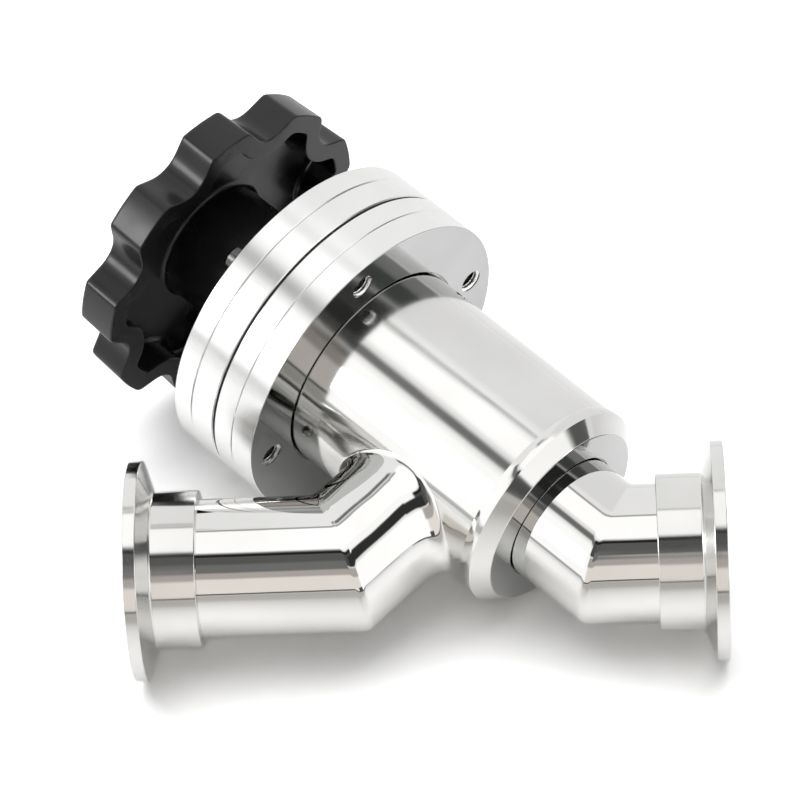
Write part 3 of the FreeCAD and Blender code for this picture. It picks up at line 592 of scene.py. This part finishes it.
def pipe_line(axes, materials):
    turned, mirror = materials["turned_pipe"], materials["mirror"]
    slope = math.tan(math.radians(BODY_ANGLE / 2))
    inlet = ferrule("inlet_ferrule", axes["pipe"], -INLET_REACH, -1, turned)
    outlet = ferrule("outlet_ferrule", axes["pipe"], OUTLET_REACH, 1, turned)
    mitred_tube("inlet_tube", axes["pipe"], flat_end(inlet), mitre_end(-MITRE_REACH, -slope),
                (0, -slope), mirror)
    mitred_tube("outlet_tube", axes["pipe"], mitre_end(0, slope), flat_end(outlet),
                (slope, 0), mirror)
    mitred_tube("branch_tube", axes["branch"], mitre_end(-BRANCH_REACH, slope),
                saddle_end(BODY_INNER), (slope, 0), materials["branch"])
    mitred_tube("outlet_leg", axes["body"], mitre_end(0, slope), flat_end(LEG_END),
                (slope, 0), mirror)


# Body

# Mesh steps on a quarter turn of the branch hole
HOLE_STEPS = 48
NEARLY_ZERO = 1e-6


def body_columns():
    """The columns of the body's wall, as ("plain", angle round the body) or ("hole", angle).

    The hole is on the -x side. Its angle is counted round the branch, so that its edge has even steps.
    """
    half = math.asin(TUBE_RADIUS / BODY_RADIUS)
    plain = [(-math.pi + half) + (2 * math.pi - 2 * half) * i / ROUND_STEPS
             for i in range(1, ROUND_STEPS)]
    columns = [("plain", angle) for angle in plain]
    for k in range(2 * HOLE_STEPS + 1):
        columns.append(("hole", math.pi / 2 - math.pi * k / (2 * HOLE_STEPS)))
    return columns


def body_wall_columns(axes, build, radius, columns):
    """The vertices of one wall surface: bottom, hole's low and high edge, and top of each column.

    The two edges are one vertex where the hole begins and ends, and None beside it.
    """
    wall = []
    for kind, value in columns:
        if kind == "plain":
            x, y = radius * math.cos(value), radius * math.sin(value)
            low = high = None
        else:
            y = TUBE_RADIUS * math.sin(value)
            x = -math.sqrt(radius * radius - y * y)
            rise = TUBE_RADIUS * abs(math.cos(value))
            low = high = build.verts.new(axes.point(x, y, BRANCH_REACH - rise))
            if rise > NEARLY_ZERO:
                high = build.verts.new(axes.point(x, y, BRANCH_REACH + rise))
        bottom = build.verts.new(axes.point(x, y, BAND_TOP))
        top = build.verts.new(axes.point(x, y, TUBE_END))
        wall.append((bottom, low, high, top))
    return wall


def body_tube(axes, material):
    """The body shell with the round opening for the branch."""
    build = bmesh.new()
    columns = body_columns()
    walls = [body_wall_columns(axes, build, radius, columns) for radius in (BODY_RADIUS, BODY_INNER)]
    count = len(columns)
    for i in range(count):
        j = (i + 1) % count
        in_hole = columns[i][0] == "hole" and columns[j][0] == "hole"
        for wall in walls:
            (b0, l0, h0, t0), (b1, l1, h1, t1) = wall[i], wall[j]
            if in_hole:
                add_face(build, b0, b1, l1, l0)
                add_face(build, h0, h1, t1, t0)
            else:
                add_face(build, b0, b1, l1, t1, t0, l0)
        outer, inner = walls
        add_face(build, outer[i][0], outer[j][0], inner[j][0], inner[i][0])
        add_face(build, outer[i][3], outer[j][3], inner[j][3], inner[i][3])
        if in_hole:
            for edge in (1, 2):
                add_face(build, outer[i][edge], outer[j][edge], inner[j][edge], inner[i][edge])
    piece = new_object("body_tube_piece", write_mesh("body_tube", build))
    finish_piece(piece, material, nodes=["body_tube"])


# The blend round the branch. It is smallest towards the stack and largest towards the body's lower
# end. RUN is how much further it runs out along the branch, there and at the branch's sides.
WELD_SMALL = 2.6
WELD_LARGE = 4.6
WELD_RUN_SMALL = 1.8
WELD_RUN_LARGE = 6.8
WELD_RUN_SIDE = 2.6
# Its unevenness: height, ripples round the branch, and swells that fade the ripples in and out
WELD_WAVE = 0.12
WELD_RIPPLES = 17
WELD_SWELLS = 3
WELD_SWELL_START = 1
# Mesh steps from wall to wall, how deep its edges lie in the walls and its root lies between them,
# and where its control points lie on the way from each wall's edge to the corner
WELD_STEPS = 24
WELD_SINK = 0.02
WELD_ROOT = 1.9
WELD_PULLS = (0.42, 0.84)


def curve_point(points, t):
    """A point of the smooth curve that a row of control points pulls on."""
    while len(points) > 1:
        points = [a.lerp(b, t) for a, b in zip(points, points[1:])]
    return points[0]


def weld_size(turn):
    """The blend's radius and its run along the branch, at a turn round the branch."""
    share = (1 - math.cos(turn)) / 2
    size = WELD_SMALL + (WELD_LARGE - WELD_SMALL) * share
    size += WELD_WAVE * math.sin(WELD_RIPPLES * turn) * math.sin(WELD_SWELLS * turn + WELD_SWELL_START)
    run = WELD_RUN_SMALL + (WELD_RUN_LARGE - WELD_RUN_SMALL) * share
    return size, run + WELD_RUN_SIDE * math.sin(turn) ** 2


def weld_section(turn):
    """Points of the blend from the body's wall to the branch's, then its root between the walls.

    They start from a ball that touches both walls. The branch runs along -x, from the body axis.
    """
    size, run = weld_size(turn)
    to_branch = Vector((0, math.sin(turn), math.cos(turn)))
    centre = to_branch * (TUBE_RADIUS + size)
    centre.x = -math.sqrt((BODY_RADIUS + size) ** 2 - centre.y ** 2)
    to_body = Vector((centre.x, centre.y, 0)).normalized()
    corner = centre - (to_body + to_branch) * (size / (1 + to_body.dot(to_branch)))
    start = centre - to_body * (size + WELD_SINK)
    end = centre - to_branch * (size + WELD_SINK) - Vector((run, 0, 0))
    on_branch = Vector((corner.x, end.y, end.z))
    low, high = WELD_PULLS
    pulls = (start, start.lerp(corner, low), start.lerp(corner, high),
             end.lerp(on_branch, high), end.lerp(on_branch, low), end)
    points = [curve_point(pulls, k / WELD_STEPS) for k in range(WELD_STEPS + 1)]
    points.append(centre - (to_body + to_branch).normalized() * (size + WELD_ROOT))
    return points


def branch_weld(axes, material):
    """The ground blend between branch and body, slightly uneven as hand work leaves it."""
    sections = [weld_section(2 * math.pi * i / ROUND_STEPS) for i in range(ROUND_STEPS)]
    rings = [[(p.x, p.y, p.z) for p in ring] for ring in zip(*sections)]
    mesh = ring_mesh("branch_weld", axes.moved(0, 0, BRANCH_REACH), rings)
    finish_piece(new_object("branch_weld_piece", mesh), material, nodes=["branch_weld"])


# The narrow joint round the outlet leg, and the crown of the weld band above the bevel
LEG_JOINT_GAP = 0.35
LEG_JOINT_DEPTH = 1.2
BAND_CROWN = 0.12
BAND_STEPS = 8

# How far the faces of bevel and band may lean towards the axis
BEVEL_TILT = 0.95
BAND_TILT = 0.4


def weld_band():
    """The outline of the ground weld band: a low crown that runs out on the body tube."""
    points = []
    for k in range(BAND_STEPS + 1):
        t = k / BAND_STEPS
        fall = (BAND_RADIUS - BODY_RADIUS) * t * t
        radius = BAND_RADIUS + BAND_CROWN * math.sin(math.pi * t) - fall
        points.append((radius, BEVEL_TOP + (BAND_TOP - BEVEL_TOP) * t))
    return points


def seat_ring(axes, face_material, bevel_material, band_material):
    """The body's lower end: end face, bevel and weld band outside, raised seat inside."""
    joint = TUBE_RADIUS + LEG_JOINT_GAP
    joint_floor = END_FACE + LEG_JOINT_DEPTH
    outline = [
        (TUBE_RADIUS, joint_floor), (joint, joint_floor), (joint, END_FACE, EDGE / 2),
        (BAND_RADIUS - BEVEL_INSET, END_FACE, EDGE), *weld_band(),
        (BODY_INNER, BAND_TOP), (BODY_INNER, SEAT_BASE),
        (SEAT_OUTER, SEAT_BASE), (SEAT_OUTER, SEAT_TOP, EDGE), (TUBE_INNER, SEAT_TOP, EDGE),
        (TUBE_INNER, LEG_END), (TUBE_RADIUS, LEG_END)]
    piece = new_object("seat_ring_piece", turned_mesh("seat_ring", axes, outline))
    finish_piece(piece, face_material, nodes=["seat_ring"])
    add_edge_material(piece, axes, bevel_material, BAND_RADIUS - BEVEL_INSET, BEVEL_TILT)
    add_edge_material(piece, axes, band_material, BODY_RADIUS - EDGE, BAND_TILT)


# Disc stack

# The narrow joint round the body tube, how far a cutter reaches past the disc, and how far the faces
# of the disc's rim may lean towards the axis
JOINT_GAP = 0.45
JOINT_DEPTH = 1.6
CUT_SPARE = 1.0
RIM_TILT = 0.5


def bolt_axes(axes):
    return [axes.turned(360 / SCREW_COUNT * i).moved(BOLT_CIRCLE, 0, 0) for i in range(SCREW_COUNT)]


def hole_cutters(axes):
    """Solids that cut the four screw holes."""
    bottom = FLANGE_FACE - CUT_SPARE
    top = FLANGE_TOP + CUT_SPARE
    outline = [(0, bottom), (SCREW_RADIUS, bottom), (SCREW_RADIUS, top), (0, top)]
    return [new_object("cutter", turned_mesh("cutter", place, outline, SMALL_STEPS))
            for place in bolt_axes(axes)]


def body_flange(axes, material, edge_material):
    """The lowest disc, with a narrow joint round the body tube and four tapped holes."""
    joint = BODY_RADIUS + JOINT_GAP
    outline = [
        (BODY_RADIUS, FLANGE_FACE + JOINT_DEPTH), (joint, FLANGE_FACE + JOINT_DEPTH),
        (joint, FLANGE_FACE, EDGE), (STACK_RADIUS, FLANGE_FACE, EDGE), (STACK_RADIUS, FLANGE_TOP, EDGE),
        (BODY_INNER, FLANGE_TOP), (BODY_INNER, TUBE_END), (BODY_RADIUS, TUBE_END)]
    piece = new_object("body_flange_piece", turned_mesh("body_flange", axes, outline))
    drill(piece, hole_cutters(axes))
    finish_piece(piece, material, nodes=["body_flange"])
    add_edge_material(piece, axes, edge_material, STACK_RADIUS - EDGE, RIM_TILT)


# The thread in the holes' mouths: its start above the face, its depth and pitch, the gap left between
# its roots and the hole's wall, and how deep its back lies in that wall
THREAD_START = 0.25
THREAD_DEPTH = 0.55
THREAD_PITCH = 0.8
THREAD_ROOT = 0.02
THREAD_BACK = 0.1


def hole_threads(axes, material):
    """The thread that shows in the mouth of each tapped hole, as rings, in a steel brightened with painted
    highlight.
    """
    for i, place in enumerate(bolt_axes(axes)):
        height = FLANGE_FACE + THREAD_START
        outline = [(SCREW_RADIUS, height)]
        while height + THREAD_PITCH < SCREW_TIP:
            outline.append((SCREW_RADIUS - THREAD_DEPTH, height + THREAD_PITCH / 2))
            height += THREAD_PITCH
            outline.append((SCREW_RADIUS - THREAD_ROOT, height))
        outline.append((SCREW_RADIUS + THREAD_BACK, height))
        outline.append((SCREW_RADIUS + THREAD_BACK, FLANGE_FACE + THREAD_START))
        mesh = turned_mesh("hole_thread", place, outline, SMALL_STEPS)
        finish_piece(new_object(f"hole_thread_{i + 1}", mesh), material)


# Handwheel

# Mesh steps on each lobe, how many of them blend a corner of the contour, and steps on an edge
CONTOUR_STEPS = 60
BLEND_STEPS = 3
CORNER_STEPS = 4


def scallop_reach(angle, radius):
    """Distance from the axis to a scallop's edge, at an angle off the scallop's middle."""
    slope = math.radians(SCALLOP_SLOPE)
    touch_x = SCALLOP_MIDDLE - radius * math.cos(slope)
    touch_y = radius * math.sin(slope)
    spare = radius ** 2 - (SCALLOP_MIDDLE * math.sin(angle)) ** 2
    if spare > 0:
        reach = SCALLOP_MIDDLE * math.cos(angle) - math.sqrt(spare)
        if reach * math.sin(angle) <= touch_y:
            return reach
    spread = math.cos(angle) - math.tan(slope) * math.sin(angle)
    return (touch_x - touch_y * math.tan(slope)) / spread if spread > 0 else math.inf


def lobed_contour(radius, scallop):
    """Points and outward directions of a circle with scallops, its corners blended."""
    count = LOBE_COUNT * CONTOUR_STEPS
    pitch = 2 * math.pi / LOBE_COUNT
    sharp = []
    for i in range(count):
        off = (2 * math.pi * i / count + pitch / 2) % pitch - pitch / 2
        sharp.append(min(radius, scallop_reach(abs(off), scallop)))
    span = range(-BLEND_STEPS, BLEND_STEPS + 1)
    weights = [math.cos(math.pi * k / (2 * BLEND_STEPS + 2)) ** 2 for k in span]
    reach = [sum(w * sharp[(i + k) % count] for w, k in zip(weights, span)) / sum(weights)
             for i in range(count)]
    points = [Vector((r * math.cos(2 * math.pi * i / count), r * math.sin(2 * math.pi * i / count)))
              for i, r in enumerate(reach)]
    outward = []
    for i in range(count):
        along = points[(i + 1) % count] - points[i - 1]
        outward.append(Vector((along.y, -along.x)).normalized())
    return points, outward


def wheel_ring(contour, inset, height):
    """The contour, moved inwards by the inset, at a height."""
    points, outward = contour
    return [(p.x - o.x * inset, p.y - o.y * inset, height) for p, o in zip(points, outward)]


def circle_contour(radius):
    """A circle with as many points as the lobed contour."""
    count = LOBE_COUNT * CONTOUR_STEPS
    ways = [Vector((math.cos(2 * math.pi * i / count), math.sin(2 * math.pi * i / count)))
            for i in range(count)]
    return [way * radius for way in ways], ways


def corner_rings(contour, inset, height, size, turn_in, turn_up):
    """Rings of a rounded corner.

    turn_in is the side of the rounding's centre across the wall (+1 towards the axis), turn_up is
    its side along the axis. The rings run from the flat face to the wall.
    """
    rings = []
    for k in range(CORNER_STEPS + 1):
        angle = math.radians(90 * k / CORNER_STEPS)
        across = size * (1 - math.sin(angle)) * turn_in
        along = size * (1 - math.cos(angle)) * turn_up
        rings.append(wheel_ring(contour, inset + across, height + along))
    return rings


# Rounding of the wheel's edges, and of the corner between its web and its walls
WHEEL_EDGE = 0.4
WHEEL_TOP_EDGE = 1.0
WEB_BLEND = 1.4


def handwheel(axes, material):
    """The moulded wheel: a lobed cup with rounded edges and a long hub."""
    outer = lobed_contour(WHEEL_RADIUS, SCALLOP_RADIUS)
    inner = lobed_contour(WHEEL_INNER, SCALLOP_RADIUS + SCALLOP_WALL)
    recess = circle_contour(RECESS_RADIUS)
    hub = circle_contour(HUB_RADIUS)
    bore = circle_contour(HUB_BORE)
    insert = circle_contour(INSERT_RADIUS)
    rings = corner_rings(outer, 0, WHEEL_BOTTOM, WHEEL_EDGE, 1, 1)
    rings += reversed(corner_rings(outer, WHEEL_DRAFT, WHEEL_TOP, WHEEL_TOP_EDGE, 1, -1))
    rings += corner_rings(recess, 0, WHEEL_TOP, WHEEL_EDGE / 2, -1, -1)
    rings += [wheel_ring(recess, 0, INSERT_TOP), wheel_ring(insert, 0, INSERT_TOP),
              wheel_ring(insert, 0, HUB_CEILING), wheel_ring(bore, 0, HUB_CEILING)]
    rings += reversed(corner_rings(bore, 0, HUB_BOTTOM, WHEEL_EDGE, -1, 1))
    rings += corner_rings(hub, 0, HUB_BOTTOM, WHEEL_EDGE, 1, 1)
    rings += reversed(corner_rings(hub, 0, WHEEL_FLOOR, WEB_BLEND, -1, -1))
    rings += corner_rings(inner, 0, WHEEL_FLOOR, WEB_BLEND, 1, -1)
    rings += reversed(corner_rings(inner, 0, WHEEL_BOTTOM, WHEEL_EDGE, -1, 1))
    piece = new_object("handwheel_piece", ring_mesh("handwheel", axes.turned(LOBE_TURN), rings))
    finish_piece(piece, material, "wheel", ["handwheel"])


# Studio

# How bright the floor is for the camera, then in the metal beside, in front of and behind the valve,
# then for all other light; and the share of blue that it loses in front of the valve. The lower levels
# in front and behind, and that warmth, are painted shade: the metal sees the floor darker there than its
# lighting makes it.
FLOOR_SEEN = 1.55
FLOOR_MIRRORED = 1.25
FLOOR_FRONT_SHADE = 0.62
FLOOR_BACK_SHADE = 0.98
FLOOR_PLAIN = 0.80
FRONT_SHADE_WARMTH = 0.08

# In metres: half the floor's width, where it turns plain white, how far in front of the pipe and how
# far behind it the mirrored floor changes, and the valve's middle, beside which the front draws back.
# FRONT_SPREAD is how far it draws back per metre to either side.
FLOOR_HALF = 6.0
FLOOR_WHITENS = (0.35, 0.80)
FRONT_RAMP = (-0.01, 0.14)
BACK_RAMP = (0.03, 0.12)
VALVE_MIDDLE = -0.07
FRONT_SPREAD = 0.8

# The soft dome that lights everything but the metal: its brightness low down and overhead, and the
# elevations in degrees between which it is full, with the width of its fading
DOME_LOW = 0.02
DOME_HIGH = 0.70
DOME_ELEVATIONS = (60, 100)
DOME_FADE = 30

# The key lamp, in metres and watts
KEY_PLACE = (-0.15, 0.15, 1.1)
KEY_TARGET = (-0.07, 0.04, 0)
KEY_SIZE = 1.3
KEY_POWER = 12

ALL_ROUND = 180


def key_lamp():
    """One large soft lamp overhead, which the metal doesn't mirror."""
    light = bpy.data.lights.new("key", "AREA")
    light.shape = "RECTANGLE"
    light.size = KEY_SIZE
    light.size_y = KEY_SIZE
    light.energy = KEY_POWER
    lamp = new_object("key", light)
    lamp.location = KEY_PLACE
    lamp.rotation_euler = (Vector(KEY_TARGET) - Vector(KEY_PLACE)).to_track_quat("-Z", "Y").to_euler()
    lamp.visible_glossy = False


def grey(level):
    return (level, level, level)


def warm_grey(level, warmth):
    """A grey that loses blue, and a third as much green, with its warmth."""
    return (level, level * (1 - warmth / 3), level * (1 - warmth), 1)


def mix_shaders(tree, factor, first, second):
    node = add_node(tree, "ShaderNodeMixShader")
    tree.links.new(factor, node.inputs[0])
    tree.links.new(first, node.inputs[1])
    tree.links.new(second, node.inputs[2])
    return node.outputs[0]


def floor_ramp(tree, source, low, high):
    """0 where the source is at low, 1 at high."""
    node = add_node(tree, "ShaderNodeMapRange")
    node.inputs["From Min"].default_value = low
    node.inputs["From Max"].default_value = high
    tree.links.new(source, node.inputs["Value"])
    return node.outputs["Result"]


def floor_places(tree):
    """How far out a point of the floor is, how much in front of the valve and how much behind.

    Each is 0 to 1. The front is a wedge, which draws back to the left and right of the valve.
    """
    place = add_node(tree, "ShaderNodeNewGeometry").outputs["Position"]
    reach = add_node(tree, "ShaderNodeVectorMath", operation="LENGTH")
    split = add_node(tree, "ShaderNodeSeparateXYZ")
    tree.links.new(place, reach.inputs[0])
    tree.links.new(place, split.inputs[0])
    aside = add_node(tree, "ShaderNodeMath", operation="SUBTRACT")
    aside.inputs[1].default_value = VALVE_MIDDLE
    tree.links.new(split.outputs["X"], aside.inputs[0])
    width = add_node(tree, "ShaderNodeMath", operation="ABSOLUTE")
    tree.links.new(aside.outputs[0], width.inputs[0])
    wedge = add_node(tree, "ShaderNodeMath", operation="MULTIPLY_ADD")
    wedge.inputs[1].default_value = FRONT_SPREAD
    tree.links.new(width.outputs[0], wedge.inputs[0])
    tree.links.new(split.outputs["Y"], wedge.inputs[2])
    far = floor_ramp(tree, reach.outputs["Value"], *FLOOR_WHITENS)
    front = floor_ramp(tree, wedge.outputs[0], -FRONT_RAMP[0], -FRONT_RAMP[1])
    return far, front, floor_ramp(tree, split.outputs["Y"], *BACK_RAMP)


def make_floor(height):
    """A pale sheet with the valve's shadow, plain white far out where no lamp reaches.

    The polished metal sees it a little darker in front of the valve, as the photograph shows.
    """
    mesh = bpy.data.meshes.new("floor")
    corners = [(FLOOR_HALF * x, FLOOR_HALF * y, height) for x, y in ((-1, -1), (1, -1), (1, 1), (-1, 1))]
    mesh.from_pydata(corners, [], [(0, 1, 2, 3)])
    floor = new_object("floor", mesh)
    material, tree, shader = new_material("floor_white")
    tree.nodes.remove(shader)
    output = next(n for n in tree.nodes if n.type == "OUTPUT_MATERIAL")
    path = add_node(tree, "ShaderNodeLightPath")

    def surface(kind, level, warmth):
        node = add_node(tree, kind)
        node.inputs["Color"].default_value = warm_grey(level, warmth)
        return node.outputs[0]

    def sheet(level, warmth=0.0):
        return surface("ShaderNodeBsdfDiffuse", level, warmth)

    def glow(level, warmth=0.0):
        return surface("ShaderNodeEmission", level, warmth)

    # Painted shade: in front of and behind the valve the metal sees the floor darker than its lighting
    # makes it, and warmer in front
    far, front, back = floor_places(tree)
    sides = mix_shaders(tree, back, sheet(FLOOR_MIRRORED), sheet(FLOOR_BACK_SHADE))
    near_floor = mix_shaders(tree, front, sides, sheet(FLOOR_FRONT_SHADE, FRONT_SHADE_WARMTH))
    far_floor = mix_shaders(tree, front, glow(1.0), glow(FLOOR_FRONT_SHADE, FRONT_SHADE_WARMTH))
    mirrored = mix_shaders(tree, far, near_floor, far_floor)
    direct = mix_shaders(tree, far, sheet(FLOOR_SEEN), glow(1.0))
    hidden = mix_shaders(tree, path.outputs["Is Glossy Ray"], sheet(FLOOR_PLAIN), mirrored)
    seen = mix_shaders(tree, path.outputs["Is Camera Ray"], hidden, direct)
    tree.links.new(seen, output.inputs["Surface"])
    floor.data.materials.append(material)
    floor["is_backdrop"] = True


class World:
    """The studio as the polished metal sees it: a pale room with soft boxes and dark cards."""

    def __init__(self):
        world = bpy.data.worlds.new("studio")
        bpy.context.scene.world = world
        world.use_nodes = True
        self.tree = world.node_tree
        self.tree.nodes.clear()
        coordinates = add_node(self.tree, "ShaderNodeTexCoord")
        split = add_node(self.tree, "ShaderNodeSeparateXYZ")
        self.tree.links.new(coordinates.outputs["Generated"], split.inputs[0])
        self.x, self.y, self.z = split.outputs

    def math(self, operation, *inputs):
        node = add_node(self.tree, "ShaderNodeMath", operation=operation)
        for socket, value in zip(node.inputs, inputs):
            if isinstance(value, (int, float)):
                socket.default_value = value
            else:
                self.tree.links.new(value, socket)
        return node.outputs[0]

    def elevation(self):
        return self.math("DEGREES", self.math("ARCSINE", self.z))

    def bearing(self, centre):
        """Degrees to the right of the given bearing, which is counted from +Y towards +X."""
        c, s = math.cos(math.radians(centre)), math.sin(math.radians(centre))
        along = self.math("ADD", self.math("MULTIPLY", self.x, s), self.math("MULTIPLY", self.y, c))
        side = self.math("SUBTRACT", self.math("MULTIPLY", self.x, c), self.math("MULTIPLY", self.y, s))
        return self.math("DEGREES", self.math("ARCTAN2", side, along))

    def window(self, value, low, high, soft):
        """1 between low and high, falling to 0 over the soft width outside."""
        def edge(start, end):
            node = add_node(self.tree, "ShaderNodeMapRange", interpolation_type="SMOOTHSTEP")
            node.inputs["From Min"].default_value = start
            node.inputs["From Max"].default_value = end
            self.tree.links.new(value, node.inputs["Value"])
            return node.outputs["Result"]
        return self.math("MULTIPLY", edge(low - soft, low), edge(high + soft, high))

    def card(self, under, colour, bearing, half_width, low, high, soft=2.0, side_soft=8.0):
        """Lays a card of one colour over the room; all angles are in degrees.

        It reaches half_width to each side of its bearing, and from the elevation low to high. soft
        and side_soft are the widths over which it fades out beyond that.
        """
        mask = self.window(self.elevation(), low, high, soft)
        if half_width < ALL_ROUND:
            mask = self.math("MULTIPLY", mask,
                             self.window(self.bearing(bearing), -half_width, half_width, side_soft))
        mix = add_node(self.tree, "ShaderNodeMix", data_type="RGBA")
        self.tree.links.new(mask, mix.inputs["Factor"])
        colours = [socket for socket in mix.inputs if socket.type == "RGBA"]
        if isinstance(under, tuple):
            colours[0].default_value = (*under, 1)
        else:
            self.tree.links.new(under, colours[0])
        colours[1].default_value = (*colour, 1)
        return next(socket for socket in mix.outputs if socket.type == "RGBA")

    def finish(self, room):
        """White for the camera, the room for reflections, the soft dome for all other light."""
        path = add_node(self.tree, "ShaderNodeLightPath")
        dome = self.card(grey(DOME_LOW), grey(DOME_HIGH), 0, ALL_ROUND, *DOME_ELEVATIONS, DOME_FADE)
        glossy = self.math("MAXIMUM", path.outputs["Is Glossy Ray"], path.outputs["Is Transmission Ray"])
        lit = mix_shaders(self.tree, glossy, self.background(dome), self.background(room))
        seen = mix_shaders(self.tree, path.outputs["Is Camera Ray"], lit, self.background(grey(1.0)))
        output = add_node(self.tree, "ShaderNodeOutputWorld")
        self.tree.links.new(seen, output.inputs["Surface"])

    def background(self, colour):
        node = add_node(self.tree, "ShaderNodeBackground")
        if isinstance(colour, tuple):
            node.inputs["Color"].default_value = (*colour, 1)
        else:
            self.tree.links.new(colour, node.inputs["Color"])
        return node.outputs[0]


# The studio's bare room, its white sheets and its soft box
ROOM = grey(1.08)
WHITE = grey(1.36)
SOFT_BOX = grey(9.0)

# Cards in the order in which they cover each other. Each is a colour, a bearing and half its width,
# its lowest and highest elevation, how softly it ends above and below, and how softly at its sides.
# Bearings are counted from +Y towards +X, so the camera is at 180.
CARDS = [
    # pale sides, with a soft box that puts the long lights in the handwheel's scallops
    (WHITE, -112, 42, -8, 48, 8),
    (SOFT_BOX, -105, 6, 20, 34, 6, 6),
    (WHITE, 118, 24, -20, 38, 3, 10),
    (grey(1.30), 118, 30, 60, 72, 3, 10),
    (grey(0.96), 18, 10, -20, 60, 6),
    # dark uprights on the right
    ((0.36, 0.37, 0.36), 78, 12, -14, 16, 8, 12),
    ((0.10, 0.11, 0.105), 86, 10, 22, 38, 8, 10),
    (grey(0.13), 87, 6, -4, 12, 6, 8),
    # the warm side where the camera stands, and a dark upright beside it
    ((1.00, 0.94, 0.88), 180, 32, -10, 24, 5),
    ((0.53, 0.49, 0.46), 180, 36, 28, 39, 4),
    (grey(0.09), 147.5, 6, -2, 7, 2, 3),
    # the dark gap between the walls and the overhead sheet
    (grey(0.20), -108, 26, 58.5, 62.5, 4.5),
    (grey(0.09), 180, 42, 44, 65, 3),
    (grey(0.20), -166, 12, 38, 66, 4, 5),
    (grey(0.12), -166, 12, 52, 60, 5, 5),
    (grey(0.02), 180, 42, 62.5, 65, 1.5),
    (grey(0.035), 122, 34, 45, 57, 3),
    # the overhead sheet with the dark lines at its back edge
    (grey(1.39), 0, ALL_ROUND, 71, 100, 3),
    (grey(0.50), -10, 13, 70, 71.8, 1.5),
    (grey(0.22), -19, 3, 64, 67, 2, 4),
    # the line where floor and walls meet
    (grey(0.12), 180, 60, -1, 1.6, 0.6),
    (grey(0.55), -108, 26, -1, 3, 1.5),
]


def make_world():
    world = World()
    room = ROOM
    for card in CARDS:
        room = world.card(room, *card)
    world.finish(room)


# The camera, fitted to the photograph in the valve's own plane: x along the pipe, w towards the
# bonnet, n out of the plane, all from the outlet elbow. Tilt in degrees, turn in radians round a
# vector, shift in millimetres, clipping in metres.
FOCAL_PIXELS = 4535.09
FRAME_PIXELS = 800
CAMERA_BASE_TILT = 34.0
CAMERA_TURN = (0.0130, 0.0472, -0.0375)
CAMERA_SHIFT = (47.3668, 35.2116, 1032.6469)
SENSOR_WIDTH = 36.0
CLIP_START = 0.05
CLIP_END = 50


def rotation_from_vector(turn):
    """The rotation about a vector by as many radians as it is long."""
    angle = Vector(turn).length
    return Matrix.Rotation(angle, 3, Vector(turn) / angle)


def make_camera(plane):
    """Sets the photograph's camera. The rows of its rotation look right, down and ahead."""
    c, s = math.cos(math.radians(CAMERA_BASE_TILT)), math.sin(math.radians(CAMERA_BASE_TILT))
    rows = rotation_from_vector(CAMERA_TURN) @ Matrix(((1, 0, 0), (0, -c, -s), (0, s, -c)))
    eye = -(rows.transposed() @ Vector(CAMERA_SHIFT))
    right, down, ahead = (plane.direction(*rows[i]) for i in range(3))
    place = plane.point(*eye)
    data = bpy.data.cameras.new("camera")
    data.sensor_width = SENSOR_WIDTH
    data.lens = FOCAL_PIXELS * SENSOR_WIDTH / FRAME_PIXELS
    data.clip_start = CLIP_START
    data.clip_end = CLIP_END
    camera = new_object("camera", data)
    turn = Matrix((right, -down, -ahead)).transposed().to_4x4()
    camera.matrix_world = Matrix.Translation(place) @ turn
    bpy.context.scene.camera = camera


def make_pieces(axes, materials):
    body = axes["body"]
    pipe_line(axes, materials)
    body_tube(body, materials["turned_body"])
    branch_weld(body, materials["branch"])
    seat_ring(body, materials["face"], materials["turned_end"], materials["band"])
    body_flange(body, materials["face"], materials["turned_disc"])
    hole_threads(body, materials["thread"])
    handwheel(body, materials["plastic"])


def turn_discs(frame, materials):
    """The upper discs keep their CAD shape and get the turned finish in steel brightened with painted
    light; their screws get steel darkened with painted shade.
    """
    for name in ("stem_housing", "bonnet_disc", "cap_disc"):
        frame["nodes"][name].data.materials[0] = materials["turned_disc"]
    frame["nodes"]["cap_screws"].data.materials[0] = materials["screw"]


def main():
    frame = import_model()
    cad_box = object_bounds()
    axes = valve_axes(frame)
    materials = make_materials(axes)
    dress_frame(frame, materials)
    turn_discs(frame, materials)
    make_pieces(axes, materials)
    make_floor(cad_box[0][2])
    make_world()
    key_lamp()
    make_camera(axes["plane"])
    bpy.context.scene.view_settings.view_transform = "Standard"
    return cad_box


cad_box = main()
